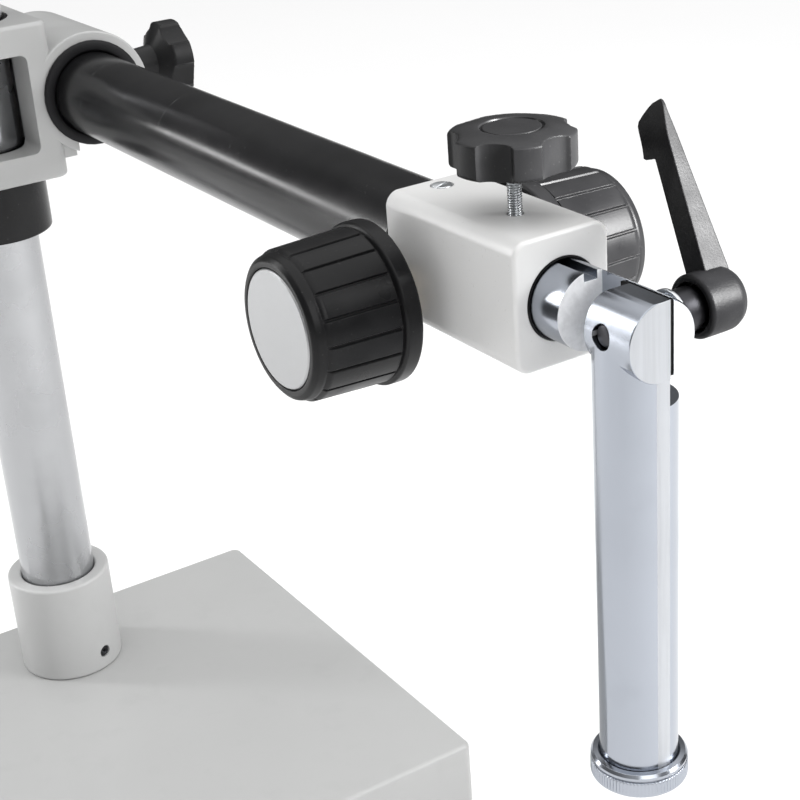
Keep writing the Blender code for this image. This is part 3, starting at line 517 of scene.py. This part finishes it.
CAD_LOOKS = {
    "base_casting": GREY_PAINT, "bottom_plate": ZINC, "pole": POLE_STEEL,
    "pole_top_cap": BUSH_BLACK, "pole_bolt": ZINC, "pole_washer": ZINC,
    "pole_collar": COLLAR_PAINT_WITH_PAINTED_LIGHT, "collar_set_screw": SCREW_BLACK, "stop_collar": COLLAR_BLACK,
    "stop_collar_screw": SCREW_BLACK, "crosshead": GREY_PAINT, "pole_bush_lower": BUSH_BLACK,
    "pole_bush_upper": BUSH_BLACK, "boom_bush_front": BUSH_BLACK, "boom_bush_rear": BUSH_BLACK,
    "boom_clamp_pad": BRASS, "pole_clamp_pad": BRASS, "boom_tube": BOOM_BLACK,
    "boom_rear_cap": BUSH_BLACK, "focus_block": WHITE_PAINT, "shaft_bush": BUSH_BLACK,
    "block_plug_screw": ZINC, "lock_pad": BRASS, "pinion": GEAR_STEEL,
    "pinion_bush_left": BRASS, "pinion_bush_right": BRASS, "rack_shaft": CHROME,
    "focus_rack": GEAR_STEEL, "drop_post": CHROME, "knurled_ring": CHROME,
    # The shim in the slit takes the painted shade of the slit.
    "tilt_shim": SLIT_PAINTED_SHADE, "lever_insert": SCREW_BLACK, "lever_washer": ZINC, "lever_screw": ZINC,
}
for foot in ("foot_fl", "foot_fr", "foot_bl", "foot_br"):
    CAD_LOOKS[foot] = RUBBER


def keep_cad_nodes():
    """Every CAD node that stays gets its material, and smooth shading over its facets."""
    for name, look in CAD_LOOKS.items():
        node = NODES[name]
        node.data.materials.clear()
        node.data.materials.append(look)
        smoothed(node.data, 30)
        weld = node.modifiers.new("weld", "WELD")
        weld.merge_threshold = 1e-6
        weighted(node)


# ---------------------------------------------------------------- pieces


KNOB_PADS = 18
# A star knob's flute: half its width as a share of the pitch, its depth as a share of the radius.
FLUTE_SHARE, FLUTE_DEPTH = 0.28, 0.15
LOCK_SPIN, CLAMP_SPIN = math.radians(37.6), math.radians(54)
BLADE_LENGTH = 61.0


def knob_grip(angle):
    """How far a focus knob's pad stands up at this angle: 1 on a pad, 0 in a groove."""
    share = angle / (2 * math.pi) * KNOB_PADS % 1.0
    edge = min(share, 1.0 - share)
    return min(1.0, max(0.0, (edge - 0.035) / 0.03))


def make_focus_knobs():
    axis = Vector(JOINTS["focus_knob_turn"]["pos_m"])
    middle = axis.x
    for side, sign in (("left", -1), ("right", 1)):
        node = "focus_knob_" + side
        box = Box(node)
        disc = Box("knob_disc_" + side)
        flange = box.side.z / 2
        near = (box.low.x if sign > 0 else -box.high.x) - sign * middle
        far = (box.high.x if sign > 0 else -box.low.x) - sign * middle
        length = far - near
        rim = flange * 0.884
        barrel = flange * 0.921
        seat = disc.side.z / 2 + 0.35 * MM
        dish = far - 1.0 * MM
        profile = [
            (9 * MM, dish), (seat, dish), (seat, far - 0.2 * MM), (seat + 0.5 * MM, far),
            (rim - 2.2 * MM, far), (rim - 0.6 * MM, far - 1.2 * MM), (rim, far - 3.3 * MM),
            (rim, far - 3.9 * MM),
        ]
        grip = []
        for step in range(25):
            share = step / 24
            height = far - 4.1 * MM - share * (length - 11.4 * MM)
            grip.append((rim + (barrel - rim) * share, height))
        base = [
            (barrel, near + 7.2 * MM), (barrel + 0.4 * MM, near + 6.6 * MM),
            (flange - 0.5 * MM, near + 6.3 * MM), (flange, near + 5.7 * MM),
            (flange, near + 0.8 * MM), (flange - 0.8 * MM, near), (20.5 * MM, near),
            (20.5 * MM, near + 8 * MM), (9.5 * MM, near + 8 * MM), (9.5 * MM, near + 1.5 * MM),
            (4.3 * MM, near + 1.5 * MM), (4.3 * MM, near + 20 * MM), (0, near + 20 * MM),
        ]
        outline = [(0, dish)] + eased(profile, 0.45 * MM) + grip + eased(base, 0.45 * MM)
        top, low = grip[0][1], grip[-1][1]

        def reach(angle, r, h, top=top, low=low):
            if h > top + 1e-7 or h < low - 1e-7 or r < 15 * MM:
                return r
            ends = min(1.0, (top - h) / (0.4 * MM), (h - low) / (0.4 * MM) + 1.0)
            return r + 0.85 * MM * knob_grip(angle) * max(0.0, ends)

        knob = lathe(node, outline, 720, reach=reach, degrees=38)
        aimed(knob, axis, X * sign)
        dress(knob, node, KNOB_BLACK)

        r = disc.side.z / 2
        high = far + 0.2 * MM
        plate = lathe("knob_disc_" + side, eased(
            [(0, high), (r - 0.4 * MM, high), (r, high - 0.4 * MM), (r, high - 1.1 * MM),
             (0, high - 1.1 * MM)], 0.25 * MM), 160)
        aimed(plate, axis, X * sign)
        dress(plate, "knob_disc_" + side, DISC_METAL)


def star_knob(node, at, axis, radius, height, count, hub, hub_length, spin):
    """A turned knob with a dished top and a flaring hub, cut back along upright flutes."""
    profile = [(0, -hub_length), (hub * 0.86, -hub_length), (hub * 0.9, -hub_length + 0.8 * MM)]
    profile += [(hub, -0.3 * hub_length), (radius * 0.84, -0.05 * hub_length)]
    profile += arc((radius - 1.4 * MM, 1.4 * MM), 1.4 * MM, -80, 0, 6)
    edge = height - 2.3 * MM
    for step in range(1, 6):
        profile.append((radius, 1.4 * MM + (edge - 1.4 * MM) * step / 5))
    profile += arc((radius - 0.9 * MM, edge), 0.9 * MM, 15, 65, 4)
    crown = (radius * 0.55, height)
    rim = profile[-1]
    for step in range(1, 9):
        t = step / 9
        r = rim[0] + (crown[0] - rim[0]) * t
        profile.append((r, rim[1] + (crown[1] - rim[1]) * (1 - (1 - t) ** 1.7)))
    profile += [crown, (radius * 0.51, height - 0.12 * MM), (radius * 0.495, height - 0.75 * MM)]
    profile += [(radius * 0.47, height - 0.85 * MM), (radius * 0.455, height - 0.3 * MM)]
    profile += [(radius * 0.43, height - 0.2 * MM), (0, height - 0.25 * MM)]
    per = 72
    rings = []
    for r, h in profile:
        ring = []
        for step in range(count * per):
            angle = 2 * math.pi * step / (count * per)
            across = (step / per + 0.5) % 1.0 - 0.5
            scoop = math.sqrt(max(0.0, 1.0 - (across / FLUTE_SHARE) ** 2))
            reach = min(r, radius * (1.0 - FLUTE_DEPTH * scoop))
            ring.append((reach * math.cos(angle), reach * math.sin(angle), h))
        rings.append(ring)
    knob = skin(node, rings, ends=False, degrees=24)
    aimed(knob, at, axis, spin)
    dress(knob, node, STAR_BLACK)


def threaded(name, radius, low, high, pitch, steps=32):
    """A bar with a rolled thread along its whole length."""
    rows = int((high - low) / pitch * 8)
    rings = [[(0, 0, low)] * steps]
    for row in range(rows + 1):
        height = low + (high - low) * row / rows
        fade = min(1.0, (height - low) / pitch, (high - height) / pitch)
        ring = []
        for step in range(steps):
            phase = (height / pitch - step / steps) % 1.0
            depth = 0.58 * pitch * abs(2 * phase - 1) ** 0.8
            r = radius - (depth if fade >= 1 else max(depth, 0.5 * pitch * (1 - fade)))
            angle = 2 * math.pi * step / steps
            ring.append((r * math.cos(angle), r * math.sin(angle), height))
        rings.append(ring)
    rings.append([(0, 0, high)] * steps)
    return skin(name, rings, ends=False, degrees=70)


def make_knobs_and_studs():
    lock = Box("lock_knob")
    stud = Box("lock_stud")
    centre = Vector((stud.middle.x, stud.middle.y, lock.low.z))
    radius = lock.side.x / 2
    hub_length = 2.4 * MM
    star_knob("lock_knob", centre + Z * hub_length, Z, radius, lock.side.z - hub_length, 6,
              8 * MM, hub_length, LOCK_SPIN)
    screw = threaded("lock_stud", stud.side.x / 2, stud.low.z, stud.high.z, 0.8 * MM)
    aimed(screw, (centre.x, centre.y, 0))
    dress(screw, "lock_stud", ZINC)
    for which, sign in (("boom", 1), ("pole", -1)):
        knob = Box(which + "_clamp_knob")
        stud = Box(which + "_clamp_stud")
        radius = max(knob.side.y, knob.side.z) / 2
        inner = knob.low.x if sign > 0 else knob.high.x
        outer = knob.high.x if sign > 0 else knob.low.x
        hub_length = 15 * MM
        at = Vector((inner + sign * hub_length, stud.middle.y, stud.middle.z))
        star_knob(which + "_clamp_knob", at, X * sign, radius, abs(outer - inner) - hub_length, 5,
                  9.0 * MM, hub_length, CLAMP_SPIN)
        screw = threaded(which + "_clamp_stud", stud.side.z / 2, stud.low.x, stud.high.x, 1.25 * MM)
        aimed(screw, (0, stud.middle.y, stud.middle.z), X)
        dress(screw, which + "_clamp_stud", ZINC)


def make_knurled_ring():
    box = Box("knurled_ring")
    post = Box("drop_post")
    radius = box.side.x / 2
    inner = post.side.x / 2 + 0.15 * MM
    height = box.side.z
    teeth = 84
    profile = [
        (inner, 0.2 * MM), (inner + 0.3 * MM, 0), (radius - 0.9 * MM, 0),
        (radius - 0.35 * MM, 0.5 * MM),
        (radius, 0.9 * MM), (radius, height * 0.60), (radius - 0.4 * MM, height * 0.64),
        (radius - 0.9 * MM, height * 0.66), (radius - 0.9 * MM, height * 0.72),
        (radius - 0.3 * MM, height * 0.74), (radius - 0.15 * MM, height * 0.86),
        (radius - 0.9 * MM, height * 0.97), (inner + 0.5 * MM, height), (inner, height - 0.3 * MM),
    ]

    def reach(angle, r, h):
        if not 0.85 * MM <= h <= height * 0.61 or r < radius - 0.2 * MM:
            return r
        share = angle / (2 * math.pi) * teeth % 1.0
        return r - 0.34 * MM * abs(2 * share - 1)

    ring = lathe("knurled_ring", profile, teeth * 6, loop=True, reach=reach, degrees=38)
    aimed(ring, (box.middle.x, box.middle.y, box.low.z))
    dress(ring, "knurled_ring", CHROME)


def make_lever():
    box = Box("lever_handle")
    core = Box("lever_insert")
    pivot = Vector((0, core.middle.y, core.middle.z))
    near = box.low.x
    screw = Box("lever_screw")
    far = near + 13.5 * MM
    hub = 9.8 * MM
    mouth = 7.6 * MM
    profile = [
        (0, far + 3 * MM), (5 * MM, far + 2.6 * MM), (8.4 * MM, far + 1.0 * MM),
        (9.7 * MM, far - 1.6 * MM), (hub, far - 5 * MM), (hub, near + 0.9 * MM),
        (hub - 0.9 * MM, near), (mouth + 0.3 * MM, near), (mouth, near + 0.3 * MM),
        (mouth, near + 4 * MM), (6 * MM, near + 4 * MM), (6 * MM, near + 5.8 * MM),
        (0, near + 5.8 * MM),
    ]
    handle = lathe("lever_handle", eased(profile, 0.8 * MM, 5), 96)
    aimed(handle, pivot, X)
    splay, lean = math.radians(5), math.radians(30)
    along = Vector((math.sin(splay), math.cos(splay) * math.sin(lean),
                    math.cos(splay) * math.cos(lean)))
    across = Vector((0, math.cos(lean), -math.sin(lean)))
    outward = across.cross(along)
    if outward.x < 0:
        outward.negate()
    root = Vector((near + 8 * MM, pivot.y, pivot.z))
    # Cross-sections up the blade: the share of its length, then its two edges and its two
    # faces, in millimetres from the middle line.
    stations = (
        (0.0, -4.7, 4.7, -3.1, 6.0), (0.14, -4.55, 4.55, -3.0, 6.0),
        (0.30, -4.54, 4.45, -3.0, 4.85), (0.45, -4.53, 4.35, -3.0, 3.75),
        (0.60, -4.51, 4.2, -3.0, 2.65), (0.735, -4.5, 4.1, -3.0, 1.67),
        (0.742, -4.5, 4.5, -3.0, 1.63), (0.748, -4.5, 6.4, -3.0, 1.58),
        (0.756, -4.5, 8.4, -3.0, 1.52), (0.768, -4.5, 9.3, -3.0, 1.44),
        (0.79, -4.5, 9.0, -2.97, 1.27), (0.82, -4.5, 8.7, -2.9, 1.05),
        (0.86, -4.5, 8.8, -2.65, 0.68), (0.90, -4.5, 9.15, -2.25, 0.3),
        (0.93, -4.5, 9.3, -1.9, 0.0), (0.95, -4.5, 8.6, -1.66, -0.17),
        (0.97, -4.4, 6.2, -1.42, -0.22), (0.99, -4.0, 3.0, -1.18, -0.3),
        (1.0, -3.4, 0.6, -1.05, -0.35),
    )
    rings = []
    for share, side, thumb, inner, outer in stations:
        middle = root + along * (share * BLADE_LENGTH * MM)
        middle += across * ((side + thumb) / 2 * MM) + outward * ((inner + outer) / 2 * MM)
        half_u, half_v = (thumb - side) / 2 * MM, (outer - inner) / 2 * MM
        corner = min(0.55 * MM, 0.5 * half_u, 0.5 * half_v)
        rings.append([middle + across * u + outward * v
                      for u, v in rounded(half_u, half_v, corner, 4)])
    arm = skin("arm", rings, degrees=50)
    way = bar("way", mouth, near - 8 * MM, near + 4 * MM, 0, 96)
    hole = bar("hole", screw.side.z / 2 + 0.3 * MM, near + 7 * MM, far + 20 * MM, 0, 64)
    stem = bar("stem", 2.2 * MM, near + 3 * MM, far + 20 * MM, 0, 48)
    carve(handle, "UNION", [arm])
    ways = [aimed(piece, pivot, X) for piece in (way, hole, stem)]
    carve(handle, "DIFFERENCE", ways, 40)
    dress(handle, "lever_handle", LEVER_BLACK)


def make_base():
    box = Box("base_casting")
    plate = Box("bottom_plate")
    pole = Box("pole")
    half_x, half_y = box.side.x / 2, box.side.y / 2
    low, high = box.low.z, box.high.z
    fillet = 2.4 * MM
    inner = plate.side.x / 2 + 0.3 * MM - half_x
    levels = [(plate.high.z + 0.3 * MM, -inner), (low, -inner), (low, 1.2 * MM)]
    levels += [(low + 0.3 * MM, 0.5 * MM), (low + 1.2 * MM, 0.0), (high - fillet - 4 * MM, 0.0)]
    for step in range(9):
        angle = math.radians(90 * step / 8)
        levels.append((high - fillet + fillet * math.sin(angle), fillet * (1 - math.cos(angle))))
    rings = []
    for height, inset in levels:
        outline = rounded(half_x - inset, half_y - inset, max(4.5 * MM - 0.6 * inset, 3 * MM), 12)
        rings.append([(box.middle.x + x, box.middle.y + y, height) for x, y in outline])
    base = skin("base_casting", rings, degrees=40)
    socket = bar("socket", pole.side.x / 2 + 0.3 * MM, pole.low.z - 0.3 * MM, high + 0.02, 0, 128)
    way = bar("way", 14 * MM, low - 0.01, pole.low.z - 9 * MM, 0, 64)
    axis = (pole.middle.x, pole.middle.y, 0)
    carve(base, "DIFFERENCE", [aimed(socket, axis), aimed(way, axis)], 40)
    dress(base, "base_casting", GREY_PAINT)


def make_crosshead():
    """The clamp casting: a body round the pole, a ring round the boom, and two bosses."""
    box = Box("crosshead")
    boom = Box("boom_tube")
    pole = Box("pole")
    bush = Box("boom_bush_front")
    axis = Vector((pole.middle.x, pole.middle.y, boom.middle.z))
    ring_axis = Vector((boom.middle.x, pole.middle.y, boom.middle.z))
    half = box.side.z / 2
    half_x, half_y = 29 * MM, 33.64 * MM
    front_shift = 0.64 * MM
    fillet = 2.0 * MM
    turns = [math.radians(90 * step / 5) for step in range(6)]
    levels = [(-half + fillet - fillet * math.cos(a), fillet * (1 - math.sin(a))) for a in turns]
    levels += [(half - fillet + fillet * math.sin(a), fillet * (1 - math.cos(a))) for a in turns]
    rings = []
    for height, inset in levels:
        outline = rounded(half_x - inset, half_y - inset, 5 * MM - 0.5 * inset, 10)
        rings.append([(axis.x + x, axis.y + y - front_shift, axis.z + height)
                      for x, y in outline])
    head = skin("crosshead", rings, degrees=40)
    boss = bar("boss", 28.3 * MM, -34.3 * MM, 35 * MM, 1.0 * MM, 160)
    foot = block("foot", (axis.x + 20 * MM, axis.y - 31.5 * MM, axis.z - 28.5 * MM),
                 (axis.x + 34.6 * MM, axis.y + 31.5 * MM, axis.z - 10 * MM))
    near = bar("near", 11 * MM, ring_axis.x + 22.2 * MM, box.high.x, 1.2 * MM, 96)
    far = bar("far", 11 * MM, box.low.x, axis.x - 25 * MM, 1.2 * MM, 96)
    across = Vector((0, axis.y, axis.z))
    carve(head, "UNION", [aimed(boss, ring_axis, Y), foot, aimed(near, across, X),
                          aimed(far, across, X)], 40)
    bore = bush.side.x / 2 - 2.8 * MM
    frame_of = rounded(16.6 * MM, 23 * MM, 3.5 * MM, 8)
    window = skin("window", [[(axis.x + x, axis.y + y, axis.z + z) for x, z in frame_of]
                             for y in (-50 * MM, -6 * MM)])
    carve(head, "DIFFERENCE", [
        aimed(bar("pole_way", bore, -0.1, 0.1, 0, 128), axis),
        aimed(bar("boom_way", bore, -0.1, 0.1, 0, 128), ring_axis, Y),
        block("slit", (ring_axis.x - 10.8 * MM, axis.y - 0.06, axis.z - 0.045),
              (ring_axis.x + 10.8 * MM, axis.y + 0.06, axis.z - 15 * MM)),
        window,
        aimed(bar("near_way", 4.3 * MM, ring_axis.x + 12 * MM, box.high.x + 0.01, 0, 48),
              across, X),
        aimed(bar("far_way", 4.3 * MM, box.low.x - 0.01, axis.x - 15 * MM, 0, 48), across, X),
    ], 40)
    dress(head, "crosshead", GREY_PAINT)


def make_focus_block():
    box = Box("focus_block")
    bush = Box("shaft_bush")
    tube = Box("boom_tube")
    front = box.low.y
    back = tube.low.y - 0.3 * MM
    half_x, half_z = box.side.x / 2, box.side.z / 2
    centre = Vector((box.middle.x, 0, box.middle.z))
    fillet = 1.3 * MM
    rings = []
    levels = [(front + fillet - fillet * math.sin(a), fillet * (1 - math.cos(a)))
              for a in (math.radians(90 - 15 * step) for step in range(7))]
    levels += [(front + 8 * MM, 0.0), (back - 8 * MM, 0.0), (back - 0.5 * MM, 0.0)]
    levels += [(back - 0.15 * MM, 0.2 * MM), (back, 0.6 * MM)]
    for y, inset in levels:
        outline = rounded(half_x - inset, half_z - inset, 5.0 * MM - inset * 0.5, 10)
        rings.append([(centre.x + x, y, centre.z + z) for x, z in outline])
    shell = skin("focus_block", rings, degrees=40)
    spigot = aimed(bar("spigot", 15.7 * MM, back - 5 * MM, box.high.y, 1 * MM), centre, Y)
    carve(shell, "UNION", [spigot])
    bore = bar("bore", bush.side.x / 2 + 0.25 * MM, front - 20 * MM, bush.high.y + 0.3 * MM, 0)
    way = bar("way", 12.8 * MM, front - 20 * MM, box.high.y + 20 * MM, 0)
    pin = Vector(JOINTS["focus_knob_turn"]["pos_m"])
    cross = bar("cross", 6.3 * MM, -60 * MM, 60 * MM, 0, 48)
    stud = Box("lock_stud")
    plug = Box("block_plug_screw")
    down = bar("down", stud.side.x / 2 + 0.3 * MM, centre.z, centre.z + 60 * MM, 0, 40)
    seat = bar("seat", plug.side.x / 2 + 0.3 * MM, plug.low.z - 0.5 * MM,
               plug.high.z + 9 * MM, 0, 48)
    carve(shell, "DIFFERENCE", [
        aimed(bore, centre, Y), aimed(way, centre, Y), aimed(cross, pin, X),
        aimed(down, (stud.middle.x, stud.middle.y, 0)),
        aimed(seat, (plug.middle.x, plug.middle.y, 0)),
    ], 40)
    dress(shell, "focus_block", WHITE_PAINT)


def make_shaft_and_post():
    """The shaft's lap joint and the drop post, machined from round bar."""
    shaft = Box("rack_shaft")
    post = Box("drop_post")
    lever = Box("lever_insert")
    ring = Box("knurled_ring")
    boom = Box("boom_tube")
    radius = shaft.side.x / 2
    centre = Vector((boom.middle.x, 0, boom.middle.z))
    pivot = Vector((centre.x, lever.middle.y, lever.middle.z))
    split = centre.x + 2.5 * MM
    gap = 1.8 * MM
    front, rear = shaft.low.y, shaft.high.y
    tongue_front = post.low.y
    tongue_back = pivot.y + 7.5 * MM
    shoulder = pivot.y + 19.6 * MM
    crown = post.high.z
    pin = 3.9 * MM

    bar_front = bar("rack_shaft", radius, front, rear, 1.0 * MM, 160)
    aimed(bar_front, centre, Y)
    helpers = [
        block("flat", (centre.x - 0.02, shoulder + 52.4 * MM, centre.z - 0.02),
              (centre.x + 0.02, rear + 0.01, centre.z - 6.2 * MM)),
        block("slot", (centre.x - 3.5 * MM, shoulder + 54.1 * MM, centre.z - 0.02),
              (centre.x + 3.5 * MM, rear + 0.01, centre.z - 0.9 * MM)),
        block("lap", (centre.x - 0.02, front - 0.02, centre.z - 0.02),
              (split + gap, shoulder, centre.z + 0.02)),
        block("key", (centre.x - 2.5 * MM, front - 0.02, centre.z + radius - 3.0 * MM),
              (centre.x + 2.5 * MM, rear + 0.01, centre.z + 0.02)),
        aimed(bar("pin", pin, -40 * MM, 40 * MM, 0, 64), pivot, X),
        aimed(bar("spot", 8.6 * MM, 11.6 * MM, 60 * MM, 0, 96), pivot, X),
    ]
    carve(bar_front, "DIFFERENCE", helpers, 40)
    dress(bar_front, "rack_shaft", CHROME)
    # The shoulder's milled face gets the copy painted lighter: painted light against the shade in
    # its recess.
    machined(bar_front, MILLED_SHOULDER_PAINTED_LIGHT)

    low = ring.low.z
    stem = lathe("drop_post", [(0, centre.z), (radius, centre.z)] + eased(
        [(radius, low + 8 * MM), (radius, low), (0, low)], 0.9 * MM), 160)
    aimed(stem, (centre.x, pivot.y, 0))
    knuckle = bar("knuckle", radius - 0.05 * MM, tongue_front, tongue_back + 2 * MM, 0.35 * MM, 160)
    carve(stem, "UNION", [aimed(knuckle, centre, Y)], 40)
    behind = pivot.y + radius + 0.15 * MM
    outline = arc((tongue_back - 3 * MM, crown - 3 * MM), 3 * MM, 90, 0, 12)
    outline += [(tongue_back, centre.z - 8 * MM), (behind, centre.z - 11.5 * MM),
                (behind + 30 * MM, centre.z - 11.5 * MM), (behind + 30 * MM, centre.z + 30 * MM),
                (tongue_back - 3 * MM, centre.z + 30 * MM)]
    back = skin("back", [[(x, y, z) for y, z in outline]
                         for x in (centre.x - 30 * MM, centre.x + 30 * MM)])
    drop = 20.5 * MM
    helpers = [
        back,
        block("lap", (split, tongue_front - 0.02, centre.z - drop),
              (split + 0.03, tongue_back + 0.02, centre.z + 0.03)),
        block("crown", (centre.x - 0.03, tongue_front - 0.02, crown),
              (centre.x + 0.03, tongue_back + 0.02, crown + 0.03)),
        aimed(bar("pin", pin, -40 * MM, 40 * MM, 0, 64), pivot, X),
    ]
    carve(stem, "DIFFERENCE", helpers, 40)
    dress(stem, "drop_post", CHROME)
    machined(stem, MILLED_END)


def make_collar(node, screw_node, ease, look):
    """A collar round the pole, with the hole of its set screw."""
    pole = Box("pole")
    axis = Vector((pole.middle.x, pole.middle.y, 0))
    collar = Box(node)
    piece = sleeve(node, collar.side.x / 2, pole.side.x / 2 + 0.3 * MM, collar.low.z,
                   collar.high.z, ease, 160)
    screw = Box(screw_node)
    out = screw.middle - axis
    out.z = 0
    hole = bar("hole", 3.3 * MM, 5 * MM, 60 * MM, 0, 48)
    carve(aimed(piece, axis), "DIFFERENCE", [aimed(hole, axis + Z * screw.middle.z, out)], 35)
    dress(piece, node, look)


def make_plain_turnings():
    """Finer copies of the turned pieces that show: pole, collars and boom."""
    pole = Box("pole")
    axis = Vector((pole.middle.x, pole.middle.y, 0))
    piece = sleeve("pole", pole.side.x / 2, 15.5 * MM, pole.low.z, pole.high.z, 0.8 * MM, 160)
    dress(aimed(piece, axis), "pole", POLE_STEEL)

    # The collar gets the lighter copy of the grey paint, which is painted light.
    make_collar("pole_collar", "collar_set_screw", 1.6 * MM, COLLAR_PAINT_WITH_PAINTED_LIGHT)
    make_collar("stop_collar", "stop_collar_screw", 1.1 * MM, COLLAR_BLACK)

    boom = Box("boom_tube")
    centre = Vector((boom.middle.x, 0, boom.middle.z))
    piece = sleeve("boom_tube", boom.side.x / 2, 16 * MM, boom.low.y, boom.high.y, 0.7 * MM, 160)
    dress(aimed(piece, centre, Y), "boom_tube", BOOM_BLACK)


# The camera's heading, dip and roll in degrees, its lens in millimetres, and its place in
# metres from the pole (across and along) and from the boom (up).
CAMERA_TURN = (30.92, 24.64, -4.31)
CAMERA_LENS = 74.64
CAMERA_FROM = (-0.236, -0.76232, 0.18316)


def make_camera():
    """The viewpoint: a long lens from the front left, above the boom, a little rolled."""
    heading, dip, roll = (math.radians(angle) for angle in CAMERA_TURN)
    level = X * math.cos(heading) - Y * math.sin(heading)
    ahead = X * math.sin(heading) + Y * math.cos(heading)
    forward = ahead * math.cos(dip) - Z * math.sin(dip)
    upright = ahead * math.sin(dip) + Z * math.cos(dip)
    right = level * math.cos(roll) + upright * math.sin(roll)
    up = upright * math.cos(roll) - level * math.sin(roll)
    pole = Box("pole").middle
    boom = Box("boom_tube").middle
    across, back, above = CAMERA_FROM
    eye = Vector((pole.x + across, pole.y + back, boom.z + above))
    camera = bpy.data.objects.new("camera", bpy.data.cameras.new("camera"))
    bpy.context.scene.collection.objects.link(camera)
    camera.data.sensor_width = 36
    camera.data.lens = CAMERA_LENS
    camera.data.clip_start = 0.01
    turn = Matrix((right, up, -forward)).transposed().to_4x4()
    camera.matrix_world = Matrix.Translation(eye) @ turn
    bpy.context.scene.camera = camera


def area_light(name, at, aim, size, size_y, power):
    data = bpy.data.lights.new(name, "AREA")
    data.energy = power
    data.shape = "RECTANGLE"
    data.size = size
    data.size_y = size_y
    light = bpy.data.objects.new(name, data)
    bpy.context.scene.collection.objects.link(light)
    light.location = at
    light.rotation_euler = (aim - at).to_track_quat("-Z", "Y").to_euler()
    return light


# Softboxes: name, place from the focus block, two sides in metres, power in watts, and the
# only pieces that it lights, by light linking. Without a list, a softbox lights everything.
LIGHTS = (
    ("left_box", (-0.95, 1.15, 0.30), 0.16, 1.6, 9, ()),
    ("right_box", (0.85, -0.75, 0.55), 0.6, 0.6, 11, ()),
    ("front_box", (-0.35, -1.30, 0.75), 0.9, 0.9, 6, ()),
    ("boom_strip", (-0.95, 1.15, 0.18), 1.9, 0.10, 8, ("boom_tube",)),
    ("grip_box", (0.42, -0.74, 0.36), 0.34, 0.34, 64,
     ("focus_knob_right", "lock_knob", "lever_handle")),
)
# The dome's brightness against height: dark at the horizon, bright overhead.
DOME = ((0.0, 0.06), (0.2, 0.07), (0.55, 0.14), (0.8, 0.95), (1.0, 1.08))
DOME_POWER = 1.68


def make_studio():
    """A pale floor, the softboxes, and a dome that is brightest overhead."""
    bm = bmesh.new()
    bmesh.ops.create_grid(bm, x_segments=8, y_segments=8, size=4.0)
    floor = made("floor", bm)
    look = Look("floor_white", (0.93, 0.93, 0.93), 0.0, 0.85)
    look.mottle(3, 0.01)
    floor.data.materials.append(look.material)
    target = Box("focus_block").middle
    for name, offset, size, size_y, power, only in LIGHTS:
        light = area_light(name, target + Vector(offset), target, size, size_y, power)
        if not only:
            continue
        lit = bpy.data.collections.new(name)
        light.light_linking.receiver_collection = lit
        for thing in bpy.data.objects:
            if thing.type == "MESH" and thing.name.split(".")[0] in only:
                lit.objects.link(thing)
    world = bpy.data.worlds.new("studio")
    bpy.context.scene.world = world
    world.use_nodes = True
    nodes = world.node_tree.nodes
    links = world.node_tree.links
    place = nodes.new("ShaderNodeTexCoord")
    split = nodes.new("ShaderNodeSeparateXYZ")
    ramp = nodes.new("ShaderNodeValToRGB")
    links.new(place.outputs["Generated"], split.inputs[0])
    links.new(split.outputs["Z"], ramp.inputs[0])
    stops = ramp.color_ramp.elements
    for _ in DOME[2:]:
        stops.new(0.5)
    for stop, (height, level) in zip(stops, DOME):
        stop.position = height
        stop.color = (level, level, level, 1)
    links.new(ramp.outputs[0], nodes["Background"].inputs[0])
    nodes["Background"].inputs[1].default_value = DOME_POWER
    bpy.context.scene.view_settings.view_transform = "Standard"


make_camera()
keep_cad_nodes()
make_plain_turnings()
make_base()
make_crosshead()
make_focus_block()
make_shaft_and_post()
make_focus_knobs()
make_knobs_and_studs()
make_knurled_ring()
make_lever()
make_studio()
